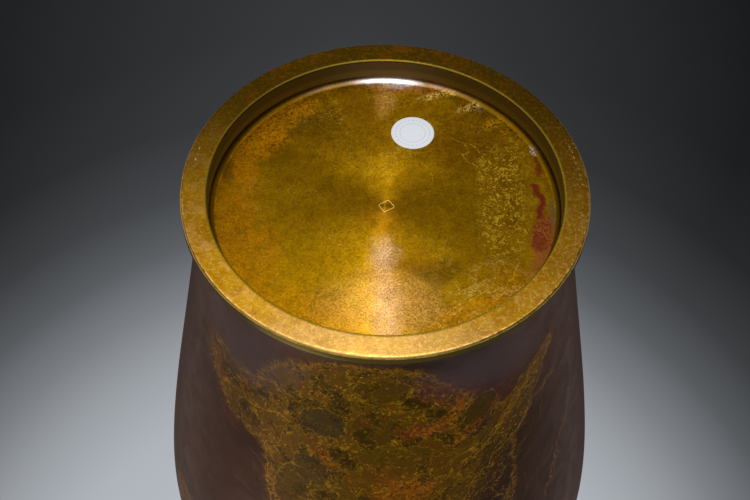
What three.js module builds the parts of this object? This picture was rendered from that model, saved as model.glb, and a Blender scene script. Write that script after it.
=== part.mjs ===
// A cast bronze flower vase, standing on its foot ring. Millimetres, +Z up, with the origin at the middle of
// the foot's flat underside. Every metal piece is turned about the Z axis.
import * as THREE from 'three';

// Foot ring: its plan, its bottom edges and the band seen from the side
const FOOT_RADIUS = 90;
const FOOT_WIDTH = 11.7;
const FOOT_EDGE_BEVEL = 0.8;
const FOOT_INNER_ROUND = 2.0;
const FOOT_BAND_HEIGHT = 4.7;
const FOOT_TOP_RISE = 1.3;
const SPIGOT_WALL = 2.6;

// Recess under the base, and what closes it
const RECESS_DEPTH = 12.6;
const PLATE_THICKNESS = 3.0;
const LEDGE_WIDTH = 3.8;
const LEDGE_HEIGHT = 4.4;
const SOLDER_LEG = 2.7;
const SOLDER_TOE = 0.35;

// Body, from the foot up: each rise starts where the one below it ends
const BODY_WALL = 3.0;
const SLEEVE_WALL = 3.2;
const SLEEVE_FLARE = 1.0;
const WAIST_RISE = 5;
const FLANK_RISE = 211;
const BELLY_RADIUS = 113.5;
const SHOULDER_RISE = 77.5;
const SHOULDER_SLOPE_RISE = 9.5;
const SHOULDER_SLOPE_RUN = 30;

// Neck and mouth: the narrowest place, and the flat lip that turns out from it
const NECK_RADIUS = 57;
const NECK_COVE = 10;
const NECK_RISE = 8;
const MOUTH_RISE = 12.5;
const LIP_OVERHANG = 10.5;
const LIP_EDGE = 4.4;
const LIP_ROUND = 1.2;
const LIP_FLAT_WIDTH = 6;

// Fullness of the long curves, as distances along the upright tangent at their ends
const WAIST_PULL = 31;
const BELLY_PULL_DOWN = 51;
const BELLY_PULL_UP = 46;

// Blank round paper label under the base plate
const LABEL_RADIUS = 10;
const LABEL_THICKNESS = 0.15;
const LABEL_X = -12.4;
const LABEL_Y = 44;

// Round walls that fit into each other stand this far apart
const ROUND_GAP = 0.3;

// Facets
const TURN_SEGMENTS = 48;
const LABEL_SEGMENTS = 40;
const FLANK_STEPS = 12;
const SHOULDER_STEPS = 10;
const NECK_STEPS = 4;
const SMALL_STEPS = 3;

// Sizes that neighbouring pieces share
const recessRadius = FOOT_RADIUS - FOOT_WIDTH;
const seatHeight = FOOT_BAND_HEIGHT + FOOT_TOP_RISE;
const spigotRadius = recessRadius + SPIGOT_WALL;
const ledgeHeight = RECESS_DEPTH + PLATE_THICKNESS;
const spigotTop = ledgeHeight + LEDGE_HEIGHT;
const sleeveBore = spigotRadius + ROUND_GAP;
const sleeveTop = spigotTop + ROUND_GAP;
const waistRadius = sleeveBore + SLEEVE_WALL;
const plateRadius = recessRadius - ROUND_GAP;

// A point of a turned profile
function at(radius, height) {
  return new THREE.Vector2(radius, height);
}

// Points along a curve that leaves start towards startPull and reaches end from endPull
function bend(start, startPull, endPull, end, steps) {
  return new THREE.CubicBezierCurve(start, startPull, endPull, end).getPoints(steps);
}

// Points of an arc, between angles in degrees counted from the outward direction
function arc(centre, radius, from, to, steps = SMALL_STEPS) {
  const points = [];
  for (let step = 0; step <= steps; step += 1) {
    const angle = THREE.MathUtils.degToRad(THREE.MathUtils.lerp(from, to, step / steps));
    points.push(at(centre.x + radius * Math.cos(angle), centre.y + radius * Math.sin(angle)));
  }
  return points;
}

// The same line moved inwards by the wall's thickness, square to itself at each point
function inset(points, wall) {
  return points.map((point, index) => {
    const before = points[Math.max(index - 1, 0)];
    const after = points[Math.min(index + 1, points.length - 1)];
    const along = after.clone().sub(before).normalize();
    return at(point.x - wall * along.y, point.y + wall * along.x);
  });
}

// A profile without the points that repeat the one before them, closed unless it starts and ends on the axis
function tidied(points) {
  const kept = points.filter((point, index) => index === 0 || point.distanceTo(points[index - 1]) > 1e-4);
  const onAxis = kept[0].x === 0 && kept[kept.length - 1].x === 0;
  return onAxis ? kept : [...kept, kept[0].clone()];
}

// A turned piece. Profiles run up their outer side and down their inner side.
function turned(name, points, material) {
  const geometry = new THREE.LatheGeometry(tidied(points), TURN_SEGMENTS);
  geometry.rotateX(Math.PI / 2);
  const piece = new THREE.Mesh(geometry, material);
  piece.name = name;
  return piece;
}

// Ring: flat underside, bevelled band, sloping top, the body's seat, then the spigot with its inner ledge
function footRing() {
  const innerRound = at(recessRadius + FOOT_INNER_ROUND, FOOT_INNER_ROUND);
  const ledgeRadius = recessRadius - LEDGE_WIDTH;
  return [
    ...arc(innerRound, FOOT_INNER_ROUND, 180, 270),
    at(FOOT_RADIUS - FOOT_EDGE_BEVEL, 0),
    at(FOOT_RADIUS, FOOT_EDGE_BEVEL),
    at(FOOT_RADIUS, FOOT_BAND_HEIGHT),
    at(waistRadius + SLEEVE_FLARE, seatHeight),
    at(spigotRadius, seatHeight),
    at(spigotRadius, spigotTop),
    at(ledgeRadius, spigotTop),
    at(ledgeRadius, ledgeHeight),
    at(recessRadius, ledgeHeight),
  ];
}

// Plate: a plain disc, pushed up against the ledge
function basePlate() {
  return [
    at(0, RECESS_DEPTH),
    at(plateRadius, RECESS_DEPTH),
    at(plateRadius, ledgeHeight),
    at(0, ledgeHeight),
  ];
}

// Solder: a hollow-faced fillet in the corner below the plate
function solderFillet() {
  const lowest = RECESS_DEPTH - SOLDER_LEG;
  const hollow = at(plateRadius - SOLDER_LEG, lowest);
  return [
    at(plateRadius, lowest),
    at(plateRadius, RECESS_DEPTH),
    at(plateRadius - SOLDER_LEG, RECESS_DEPTH),
    ...arc(hollow, SOLDER_LEG - SOLDER_TOE, 90, 0),
  ];
}

// Outer line of the body from its seat on the ring to the neck, as the runs that make it up
function bodyLine() {
  const foot = at(waistRadius + SLEEVE_FLARE, seatHeight);
  const waist = at(waistRadius, foot.y + WAIST_RISE);
  const belly = at(BELLY_RADIUS, waist.y + FLANK_RISE);
  const shoulder = at(NECK_RADIUS + NECK_COVE, belly.y + SHOULDER_RISE);
  const neck = at(NECK_RADIUS, shoulder.y + NECK_RISE);

  const footPull = at(waist.x, waist.y - WAIST_RISE / 2);
  const waistPull = at(waist.x, waist.y + WAIST_PULL);
  const bellyPullDown = at(belly.x, belly.y - BELLY_PULL_DOWN);
  const bellyPullUp = at(belly.x, belly.y + BELLY_PULL_UP);
  const slope = at(SHOULDER_SLOPE_RUN, -SHOULDER_SLOPE_RISE);
  const slopeStart = shoulder.clone().add(slope);
  const slopeEnd = shoulder.clone().addScaledVector(slope, -NECK_COVE / SHOULDER_SLOPE_RUN / 2);
  const neckPull = at(neck.x, neck.y - NECK_RISE / 2);
  return {
    flare: bend(foot, footPull, waist, waist, SMALL_STEPS),
    flank: bend(waist, waistPull, bellyPullDown, belly, FLANK_STEPS),
    shoulder: bend(belly, bellyPullUp, slopeStart, shoulder, SHOULDER_STEPS),
    cove: bend(shoulder, slopeEnd, neckPull, neck, NECK_STEPS),
  };
}

// Mouth: from the neck out under the lip, round its edge, over the flat and down the throat to the wall
function mouthLine(neck, neckInside) {
  const top = neck.y + MOUTH_RISE;
  const edge = neck.x + LIP_OVERHANG - LIP_ROUND;
  const underLip = at(edge, top - LIP_EDGE);
  const throatTop = at(edge - LIP_FLAT_WIDTH - LIP_ROUND, top - LIP_ROUND);
  const neckPull = at(neck.x, neck.y + MOUTH_RISE / 3);
  const lipPull = at(edge - LIP_OVERHANG / 2, underLip.y);
  const throatPull = at(throatTop.x, throatTop.y - MOUTH_RISE / 3);
  const insidePull = at(neckInside.x, neckInside.y + MOUTH_RISE / 3);
  return [
    ...bend(neck, neckPull, lipPull, underLip, NECK_STEPS),
    ...arc(at(edge, underLip.y + LIP_ROUND), LIP_ROUND, -90, 0),
    ...arc(at(edge, top - LIP_ROUND), LIP_ROUND, 0, 90),
    ...arc(at(edge - LIP_FLAT_WIDTH, top - LIP_ROUND), LIP_ROUND, 90, 180),
    ...bend(throatTop, throatPull, insidePull, neckInside, NECK_STEPS),
  ];
}

// Body: the sleeve over the spigot, the long flank up to the belly, the full shoulder, short neck and lip
function vaseBody() {
  const line = bodyLine();
  const outside = [...line.flank, ...line.shoulder.slice(1), ...line.cove.slice(1)];
  const inside = inset(outside, BODY_WALL).reverse();
  return [
    ...line.flare,
    ...outside,
    ...mouthLine(outside[outside.length - 1], inside[0]),
    ...inside.filter((point) => point.y > sleeveTop),
    at(sleeveBore, sleeveTop),
    at(sleeveBore, seatHeight),
  ];
}

// Label: a thin disc stuck to the plate's underside
function paperLabel(material) {
  const geometry = new THREE.CylinderGeometry(LABEL_RADIUS, LABEL_RADIUS, LABEL_THICKNESS, LABEL_SEGMENTS);
  geometry.rotateX(Math.PI / 2);
  const label = new THREE.Mesh(geometry, material);
  label.name = 'paper_label';
  label.position.set(LABEL_X, LABEL_Y, RECESS_DEPTH - LABEL_THICKNESS / 2);
  return label;
}

const bronze = new THREE.MeshStandardMaterial({ color: 0x4a3b2c, roughness: 0.38, metalness: 0.9 });
const rubbedBronze = new THREE.MeshStandardMaterial({ color: 0x97710c, roughness: 0.35, metalness: 0.9 });
const plateBronze = new THREE.MeshStandardMaterial({ color: 0x7d6108, roughness: 0.32, metalness: 0.9 });
const solder = new THREE.MeshStandardMaterial({ color: 0x6d4a1c, roughness: 0.4, metalness: 0.85 });
const paper = new THREE.MeshStandardMaterial({ color: 0xd8dce4, roughness: 0.85, metalness: 0 });

const vase = new THREE.Group();
vase.add(
  turned('vase_body', vaseBody(), bronze),
  turned('foot_ring', footRing(), rubbedBronze),
  turned('base_plate', basePlate(), plateBronze),
  turned('base_solder', solderFillet(), solder),
  paperLabel(paper),
);

export default vase;
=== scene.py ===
# %% [markdown]
# # A cast bronze vase with a cloudy patina
#
# The solids of the vase come from a CAD program, at their real size, and they stay where they are. Blender
# adds what makes bronze look like bronze: finely turned surfaces, soft edges and small nicks, and a patina
# of olive, brown, gold and red clouds. Each step first says what it makes and why it is made that way, and
# then does it.

# %% Load the solids
import math

import bmesh
import bpy
from mathutils import Matrix, Vector


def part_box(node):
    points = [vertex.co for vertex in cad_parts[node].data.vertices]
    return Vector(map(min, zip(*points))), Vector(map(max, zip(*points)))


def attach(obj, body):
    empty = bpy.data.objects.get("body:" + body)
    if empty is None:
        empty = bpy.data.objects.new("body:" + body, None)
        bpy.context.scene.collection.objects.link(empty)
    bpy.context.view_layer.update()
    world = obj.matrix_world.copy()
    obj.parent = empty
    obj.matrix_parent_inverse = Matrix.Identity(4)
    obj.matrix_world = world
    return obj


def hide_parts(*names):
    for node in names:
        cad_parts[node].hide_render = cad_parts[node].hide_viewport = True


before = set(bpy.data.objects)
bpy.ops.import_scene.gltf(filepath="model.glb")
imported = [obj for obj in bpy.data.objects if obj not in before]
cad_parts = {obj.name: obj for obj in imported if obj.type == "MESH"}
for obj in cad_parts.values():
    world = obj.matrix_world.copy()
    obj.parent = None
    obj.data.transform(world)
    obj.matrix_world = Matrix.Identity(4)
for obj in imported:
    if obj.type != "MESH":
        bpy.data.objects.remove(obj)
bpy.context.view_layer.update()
print("solids:", sorted(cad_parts))

# %% [markdown]
# ## The camera
#
# The vase is looked at from below, at the underside of its foot. The camera therefore stands under the
# level of the floor and looks up, and it is rolled half a turn, so that the foot is at the top of the
# picture. A long lens keeps the rings from looking stretched.

# %% Stand the camera under the foot
CAMERA_PLACE = Vector((0.0041, -0.4090, -0.4795))
CAMERA_ELEVATION = 52.056
CAMERA_ROLL = 181.029
CAMERA_LENS = 68.87

camera = bpy.data.objects.new("studio_camera", bpy.data.cameras.new("studio_camera"))
bpy.context.scene.collection.objects.link(camera)
camera.data.lens = CAMERA_LENS
tilt = Matrix.Rotation(math.radians(90 + CAMERA_ELEVATION), 4, "X")
roll = Matrix.Rotation(math.radians(CAMERA_ROLL), 4, "Z")
camera.matrix_world = Matrix.Translation(CAMERA_PLACE) @ tilt @ roll
bpy.context.scene.camera = camera
bpy.context.scene.view_settings.view_transform = "Standard"
print("camera at", tuple(CAMERA_PLACE), "lens", CAMERA_LENS)

# %% [markdown]
# ## Wiring nodes
#
# Materials, the world and Geometry Nodes are all trees of nodes. This small class adds a node, sets it and
# wires its inputs by name, so that each finish below can be read as a short recipe instead of a page of
# links.


# %% A helper that adds and wires nodes
class Wiring:
    """Adds nodes to one tree. An input takes a plain value, or another node's output socket."""

    def __init__(self, tree):
        self.tree = tree

    def feed(self, socket, value):
        if isinstance(value, bpy.types.NodeSocket):
            self.tree.links.new(value, socket)
        else:
            socket.default_value = value

    def add(self, kind, inputs=None, **settings):
        node = self.tree.nodes.new(kind)
        for name, value in settings.items():
            setattr(node, name, value)
        for name, value in (inputs or {}).items():
            self.feed(node.inputs[name], value)
        return node

    def math(self, operation, *values):
        node = self.add("ShaderNodeMath", operation=operation)
        for socket, value in zip(node.inputs, values):
            self.feed(socket, value)
        return node.outputs[0]

    def vector(self, operation, *values):
        node = self.add("ShaderNodeVectorMath", operation=operation)
        for socket, value in zip(node.inputs, values):
            self.feed(socket, value)
        return node.outputs["Value" if operation in ("LENGTH", "DOT_PRODUCT") else "Vector"]

    def scaled(self, place, factor):
        node = self.add("ShaderNodeVectorMath", {"Scale": factor}, operation="SCALE")
        self.feed(node.inputs[0], place)
        return node.outputs["Vector"]

    def between(self, value, low, high, to_low=0.0, to_high=1.0):
        """Rises softly from to_low, where value is low, to to_high, where it is high."""
        ends = {"Value": value, "From Min": low, "From Max": high, "To Min": to_low, "To Max": to_high}
        return self.add("ShaderNodeMapRange", ends, interpolation_type="SMOOTHSTEP").outputs[0]

    def noise(self, place, size, detail=3.0, roughness=0.5):
        """Soft noise whose lumps are about size long, in the same unit as place."""
        ends = {"Vector": place, "Scale": 1.0 / size, "Detail": detail, "Roughness": roughness}
        return self.add("ShaderNodeTexNoise", ends).outputs[0]

    def mix(self, factor, first, second, blend="MIX"):
        node = self.add("ShaderNodeMix", data_type="RGBA", blend_type=blend)
        ends = {"Factor_Float": factor, "A_Color": first, "B_Color": second}
        for socket in node.inputs:
            if socket.identifier in ends:
                self.feed(socket, ends[socket.identifier])
        return next(socket for socket in node.outputs if socket.identifier == "Result_Color")

    def lumps(self, place, length, detail=3.0, roughness=0.5, distortion=0.0, output=0):
        """The same soft noise, for a length that comes from another node."""
        ends = {"Vector": self.vector("DIVIDE", place, length), "Scale": 1.0, "Detail": detail}
        ends |= {"Roughness": roughness, "Distortion": distortion}
        return self.add("ShaderNodeTexNoise", ends).outputs[output]

    def split(self, place):
        """The X, Y and Z of a place, by their names."""
        return self.add("ShaderNodeSeparateXYZ", {"Vector": place}).outputs

    def flattened(self, place):
        """The place without its height."""
        return self.vector("MULTIPLY", place, (1.0, 1.0, 0.0))

    def use(self, group, inputs):
        """Places a shader node group."""
        return self.add("ShaderNodeGroup", inputs, node_tree=group).outputs


def grey(value):
    return (value, value, value, 1.0)


# %% [markdown]
# ## The studio
#
# The studio is a pale floor under a pale sky, with one dark backdrop behind the vase as the camera sees it.
# On one side of the foot the backdrop has a bright pool of light, and on the other a faint veil. Polished
# metal shows whatever stands round it, so the same surroundings are given to reflections as to the camera,
# while the even light on dull surfaces stays plain. Below the horizon are a bright table and three soft
# glows, for the underside of the foot to mirror. All of it is worked out from the direction in which one
# looks, so no picture is needed. Strength 1 is white, and angles are in degrees.


# %% Directions in the studio
def cosine(angle):
    return math.cos(math.radians(angle))


def sine(angle):
    return math.sin(math.radians(angle))


def direction(azimuth, elevation):
    """A unit vector: azimuth is counted from +Y towards +X, both in degrees."""
    level = cosine(elevation)
    return Vector((level * sine(azimuth), level * cosine(azimuth), sine(elevation)))


print("the camera looks along", tuple(round(part, 2) for part in direction(0, CAMERA_ELEVATION)))

# %% The dark backdrop, with its pool and its veil of light
POOL_AZIMUTH, POOL_ELEVATION = 3.6, 69.5
POOL_RADIUS, POOL_EDGE = 15.7, 1.9
POOL_LIGHT, BACKDROP_LIGHT = 0.5, 0.011
POOL_ANGLES = (30.0, 26.0, 23.0, 20.5, 18.5, 16.5, 14.5, 12.0, 8.0)
VEIL_AZIMUTH, VEIL_ELEVATION = 1.4, 44.5
VEIL_RADIUS, VEIL_LIGHT = 15.5, 0.031
COOL_TINT = (0.94, 1.0, 1.08, 1.0)


def pool_light(angle):
    """How bright the backdrop is, so far from the middle of the pool."""
    return BACKDROP_LIGHT + POOL_LIGHT / (1 + math.exp((angle - POOL_RADIUS) / POOL_EDGE))


def dark_backdrop(wire, looking):
    facing_pool = wire.vector("DOT_PRODUCT", looking, direction(POOL_AZIMUTH, POOL_ELEVATION))
    low, high = cosine(POOL_ANGLES[0]), cosine(POOL_ANGLES[-1])
    along = wire.add("ShaderNodeMapRange", {"Value": facing_pool, "From Min": low, "From Max": high})
    ramp = wire.add("ShaderNodeValToRGB", {"Fac": along.outputs[0]})
    stops = ramp.color_ramp.elements
    while len(stops) < len(POOL_ANGLES):
        stops.new(0.5)
    for stop, angle in zip(stops, POOL_ANGLES):
        stop.position = (cosine(angle) - low) / (high - low)
        stop.color = grey(pool_light(angle))

    facing_veil = wire.vector("DOT_PRODUCT", looking, direction(VEIL_AZIMUTH, VEIL_ELEVATION))
    fading = {"Value": wire.math("ARCCOSINE", facing_veil), "From Max": math.radians(VEIL_RADIUS)}
    veil = wire.add("ShaderNodeMapRange", fading | {"To Min": VEIL_LIGHT, "To Max": 0.0}).outputs[0]
    lit = wire.mix(1.0, ramp.outputs["Color"], veil, "ADD")
    return wire.mix(1.0, lit, COOL_TINT, "MULTIPLY")


print("backdrop:", round(pool_light(0.0), 3), "in the pool")
print("and", round(pool_light(POOL_ANGLES[0]), 3), "far from it")

# %% The pale surroundings, and what shines from below
HORIZON_LOW, HORIZON_HIGH = -8.0, 4.0
PALE_LIGHT, SIDE_DIFFERENCE = 0.68, 0.14
CEILING_LOW, CEILING_HIGH = 12.0, 34.0
CEILING_FRONT, CEILING_SIDES = 0.52, 0.36
CEILING_MIDDLE, CEILING_NEAR, CEILING_FAR = 0.12, 0.15, 0.75
TABLE_DIRECTION = Vector((0.14, -0.16, -1.0)).normalized()
TABLE_INNER, TABLE_OUTER = 14.0, 62.0
TABLE_LIGHT, TABLE_DARK = 2.1, 0.05
GLOW_INNER, GLOW_OUTER = 6.0, 25.0
GLOWS = ((-44.0, -27.0, 0.5), (0.0, -17.0, 0.75), (44.0, -27.0, 0.4))


def light_from_below(wire, looking):
    facing_table = wire.vector("DOT_PRODUCT", looking, TABLE_DIRECTION)
    light = wire.between(facing_table, cosine(TABLE_OUTER), cosine(TABLE_INNER), TABLE_DARK, TABLE_LIGHT)
    for azimuth, elevation, strength in GLOWS:
        facing_glow = wire.vector("DOT_PRODUCT", looking, direction(azimuth, elevation))
        glow = wire.between(facing_glow, cosine(GLOW_OUTER), cosine(GLOW_INNER), 0.0, strength)
        light = wire.math("MAXIMUM", light, glow)
    return light


def pale_surroundings(wire, looking):
    parts = wire.split(looking)
    side, rise = parts["X"], parts["Z"]
    darkest, palest = PALE_LIGHT - SIDE_DIFFERENCE, PALE_LIGHT + SIDE_DIFFERENCE
    horizon = wire.between(side, -1.0, 1.0, darkest, palest)
    off_middle = wire.math("ABSOLUTE", wire.math("SUBTRACT", side, CEILING_MIDDLE))
    ceiling = wire.between(off_middle, CEILING_NEAR, CEILING_FAR, CEILING_FRONT, CEILING_SIDES)
    above = wire.between(rise, sine(CEILING_LOW), sine(CEILING_HIGH))
    level = wire.between(rise, sine(HORIZON_LOW), sine(HORIZON_HIGH))
    return wire.mix(level, light_from_below(wire, looking), wire.mix(above, horizon, ceiling))


print(len(GLOWS), "soft glows and a bright table under the horizon")

# %% Build the studio's surroundings
EVEN_LIGHT = 0.72
BACKDROP_INNER, BACKDROP_OUTER = 21.0, 38.0


def build_world():
    world = bpy.data.worlds.new("studio")
    world.use_nodes = True
    world.node_tree.nodes.clear()
    wire = Wiring(world.node_tree)
    looking = wire.add("ShaderNodeTexCoord").outputs["Generated"]
    facing_backdrop = wire.vector("DOT_PRODUCT", looking, direction(0, CAMERA_ELEVATION))
    near_backdrop = wire.between(facing_backdrop, cosine(BACKDROP_OUTER), cosine(BACKDROP_INNER))
    seen = wire.mix(near_backdrop, pale_surroundings(wire, looking), dark_backdrop(wire, looking))

    path = wire.add("ShaderNodeLightPath").outputs
    mirrored = wire.math("ADD", path["Is Glossy Ray"], path["Is Transmission Ray"])
    shown = wire.math("MINIMUM", wire.math("ADD", path["Is Camera Ray"], mirrored), 1.0)
    colour = wire.mix(shown, grey(EVEN_LIGHT), seen)
    background = wire.add("ShaderNodeBackground", {"Color": colour, "Strength": 1.0})
    wire.add("ShaderNodeOutputWorld", {"Surface": background.outputs[0]})
    return world


bpy.context.scene.world = build_world()
print("surroundings: pool of light", POOL_ELEVATION, "degrees up")

# %% [markdown]
# ## The floor
#
# The vase stands on a plain pale floor, but the camera of this picture is under it. So the floor has only
# an upper side: seen from below it is clear, and under the foot it has a round hole that the foot covers.
# The underside of the foot then catches the light that comes from below, as it would on a photographer's
# table.

# %% A pale floor with only an upper side
FLOOR_RADIUS = 14.0
FLOOR_RIM_UNDER_FOOT = 0.0006
SKIPPED_RING = 0.004
FLOOR_COLOUR = (0.74, 0.74, 0.75, 1.0)
foot_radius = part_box("foot_ring")[1].x


def floor_material():
    material = bpy.data.materials.new("pale_floor")
    material.use_nodes = True
    material.node_tree.nodes.clear()
    wire = Wiring(material.node_tree)
    paint = wire.add("ShaderNodeBsdfDiffuse", {"Color": FLOOR_COLOUR}).outputs[0]
    clear = wire.add("ShaderNodeBsdfTransparent").outputs[0]
    place = wire.add("ShaderNodeTexCoord").outputs["Object"]
    close = wire.math("LESS_THAN", wire.vector("LENGTH", place), foot_radius + SKIPPED_RING)
    skipped = wire.math("MULTIPLY", close, wire.add("ShaderNodeLightPath").outputs["Is Glossy Ray"])
    behind = wire.add("ShaderNodeNewGeometry").outputs["Backfacing"]
    unseen = wire.math("MAXIMUM", behind, skipped)
    surface = wire.tree.nodes.new("ShaderNodeMixShader")
    for socket, value in zip(surface.inputs, (unseen, paint, clear)):
        wire.feed(socket, value)
    wire.add("ShaderNodeOutputMaterial", {"Surface": surface.outputs[0]})
    return material


def build_floor(sides=128):
    mesh = bpy.data.meshes.new("studio_floor")
    shape = bmesh.new()
    inner_radius = foot_radius - FLOOR_RIM_UNDER_FOOT
    rings = []
    for radius in (inner_radius, FLOOR_RADIUS):
        turns = [math.tau * side / sides for side in range(sides)]
        rings.append([shape.verts.new((radius * math.cos(t), radius * math.sin(t), 0)) for t in turns])
    for side in range(sides):
        after = (side + 1) % sides
        shape.faces.new((rings[0][side], rings[1][side], rings[1][after], rings[0][after]))
    shape.to_mesh(mesh)
    shape.free()
    mesh.materials.append(floor_material())
    floor = bpy.data.objects.new("studio_floor", mesh)
    bpy.context.scene.collection.objects.link(floor)
    return floor


floor = build_floor()
print("floor of", len(floor.data.polygons), "faces")

# %% [markdown]
# ## Soft lamps
#
# One large soft lamp, high on one side, gives the body its long highlight, and a weaker one fills the other
# side. Two small lamps stand below the foot. The turned plate draws the first out into a streak, and the
# second brightens the near part of the foot. All are white, so that colours look as they are set. Each row
# below gives a lamp's name, place, target, size and brightness.

# %% Soft lamps


def soft_lamp(name, place, target, size, radiance):
    """A square lamp that the camera doesn't see. Its power follows from its size and its brightness."""
    light = bpy.data.lights.new(name, "AREA")
    light.shape = "RECTANGLE"
    light.size, light.size_y = size
    light.energy = radiance * math.pi * size[0] * size[1]
    lamp = bpy.data.objects.new(name, light)
    lamp.location = place
    lamp.rotation_euler = (Vector(target) - Vector(place)).to_track_quat("-Z", "Y").to_euler()
    lamp.visible_camera = False
    bpy.context.scene.collection.objects.link(lamp)
    return lamp


LAMPS = (
    ("side_lamp", (0.9, -0.5, 2.4), (0, 0, 0.16), (1.0, 1.0), 2.6),
    ("top_lamp", (-0.5, 0.6, 2.6), (0, 0, 0.16), (0.8, 0.8), 1.6),
    ("streak_lamp", (0.012, 0.25, -0.82), (0, 0, 0), (0.07, 0.22), 17.5),
    ("front_lamp", (0.0, -0.38, -0.82), (0, 0, 0), (0.1, 0.1), 42.0),
)
for lamp_row in LAMPS:
    soft_lamp(*lamp_row)
print("lamps:", ", ".join(row[0] for row in LAMPS))

# %% [markdown]
# ## Sizes of the vase
#
# Every size that the solids show is read from them. The rest are the maker's sizes of edges, walls and
# curves, in millimetres, counted from the foot up. The ring's inner edge is rounded less than on its solid,
# because a crisp edge catches the light. A profile is a list of points (radius, height).

# %% Sizes, in millimetres
MM = 0.001


def in_mm(node):
    return tuple(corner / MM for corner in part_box(node))


ring_high = in_mm("foot_ring")[1]
plate_low, plate_high = in_mm("base_plate")
solder_low = in_mm("base_solder")[0]
body_low, body_high = in_mm("vase_body")
label_low, label_high = in_mm("paper_label")

FOOT_WIDTH, FOOT_EDGE_BEVEL, FOOT_INNER_ROUND = 11.7, 0.8, 1.0
FOOT_BAND_HEIGHT, SPIGOT_WALL, LEDGE_WIDTH = 4.7, 2.6, 3.8
BODY_WALL, SLEEVE_WALL, SLEEVE_FLARE, ROUND_GAP = 3.0, 3.2, 1.0, 0.3
WAIST_RISE, FLANK_RISE, SHOULDER_RISE = 5.0, 211.0, 77.5
SHOULDER_SLOPE_RISE, SHOULDER_SLOPE_RUN = 9.5, 30.0
NECK_RADIUS, NECK_COVE, NECK_RISE, MOUTH_RISE = 57.0, 10.0, 8.0, 12.5
LIP_OVERHANG, LIP_EDGE, LIP_ROUND, LIP_FLAT_WIDTH = 10.5, 4.4, 1.2, 6.0
WAIST_PULL, BELLY_PULL_DOWN, BELLY_PULL_UP = 31.0, 51.0, 46.0

FOOT_RADIUS, BELLY_RADIUS = ring_high.x, body_high.x
RECESS_RADIUS = FOOT_RADIUS - FOOT_WIDTH
SEAT_HEIGHT = body_low.z
SPIGOT_RADIUS = RECESS_RADIUS + SPIGOT_WALL
SLEEVE_BORE = SPIGOT_RADIUS + ROUND_GAP
WAIST_RADIUS = SLEEVE_BORE + SLEEVE_WALL
PLATE_UNDERSIDE = plate_low.z
print("foot radius", round(FOOT_RADIUS, 2), "belly radius", round(BELLY_RADIUS, 2))
print("height", round(body_high.z, 1))

# %% [markdown]
# ## Drawing a profile
#
# A lathe turns a drawn line into a round piece, so each metal piece starts as such a line. Long curves are
# Bezier curves. Corners are drawn as corners with a rounding, because no edge on a used bronze is sharp,
# and a rounded edge is what catches the light.

# %% Lines for the lathe
ARC_PULL = 0.5523


def bend(start, start_pull, end_pull, end, steps):
    """Points of a curve that leaves start towards start_pull and reaches end from end_pull."""
    points = []
    for step in range(steps + 1):
        t = step / steps
        weights = ((1 - t) ** 3, 3 * t * (1 - t) ** 2, 3 * t * t * (1 - t), t**3)
        corners = (start, start_pull, end_pull, end)
        points.append(tuple(sum(w * c[axis] for w, c in zip(weights, corners)) for axis in (0, 1)))
    return points


def towards(start, end, distance):
    length = math.dist(start, end)
    return tuple(s + (e - s) * distance / length for s, e in zip(start, end))


def rounded(corners, steps=4):
    """A line through corners given as (radius, height, rounding), with both of its ends left sharp."""
    points = [corners[0][:2]]
    for before, corner, after in zip(corners, corners[1:], corners[2:]):
        centre, rounding = corner[:2], corner[2]
        if rounding == 0:
            points.append(centre)
            continue
        start = towards(centre, before[:2], rounding)
        end = towards(centre, after[:2], rounding)
        start_pull = towards(start, centre, rounding * ARC_PULL)
        end_pull = towards(end, centre, rounding * ARC_PULL)
        points += bend(start, start_pull, end_pull, end, steps)
    return points + [corners[-1][:2]]


def spaced(points, gap):
    """The same line with points added, so that no two are further apart than gap."""
    result = [points[0]]
    for start, end in zip(points, points[1:]):
        pieces = max(1, math.ceil(math.dist(start, end) / gap))
        for piece in range(1, pieces + 1):
            result.append(tuple(s + (e - s) * piece / pieces for s, e in zip(start, end)))
    return result


def inset(points, wall):
    """The same line moved inwards, square to itself at each point."""
    moved = []
    for index, point in enumerate(points):
        before, after = points[max(index - 1, 0)], points[min(index + 1, len(points) - 1)]
        length = math.dist(before, after)
        along = ((after[0] - before[0]) / length, (after[1] - before[1]) / length)
        moved.append((point[0] - wall * along[1], point[1] + wall * along[0]))
    return moved


print("a quarter arc in 4 steps:", len(rounded([(0, 0, 0), (1, 0, 0.5), (1, 1, 0)])), "points")

# %% [markdown]
# ## The lathe
#
# The metal pieces are turned, so one Geometry Nodes tree makes them all. It lays out a grid with one column
# for each point of the profile and one row for each step of the turn, and moves every grid point to its
# place: the profile's point, rotated about the Z axis. Merging the doubles then closes the seam and the
# middle. A slow noise lets the radius waver by a hair, as on any casting that was filed and scraped by
# hand.


# %% How every Geometry Nodes tree here starts and ends
def new_geometry_tree(name, inputs):
    """An empty tree with one geometry in, one out, and named inputs given as (name, socket type)."""
    tree = bpy.data.node_groups.new(name, "GeometryNodeTree")
    tree.interface.new_socket("Geometry", in_out="INPUT", socket_type="NodeSocketGeometry")
    for socket_name, kind in inputs:
        tree.interface.new_socket(socket_name, in_out="INPUT", socket_type=kind)
    tree.interface.new_socket("Geometry", in_out="OUTPUT", socket_type="NodeSocketGeometry")
    wire = Wiring(tree)
    return wire, wire.add("NodeGroupInput").outputs


def end_geometry_tree(wire, geometry, finish):
    """Ends a tree as every tree here ends: with real geometry that carries its material."""
    real = wire.add("GeometryNodeRealizeInstances", {"Geometry": geometry}).outputs[0]
    made = wire.add("GeometryNodeSetMaterial", {"Geometry": real, "Material": finish}).outputs[0]
    wire.add("NodeGroupOutput", {"Geometry": made})
    return wire.tree


print("a tree takes a geometry and named sizes")

# %% The lathe as a Geometry Nodes tree
DOUBLES_DISTANCE = 1e-6


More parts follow.
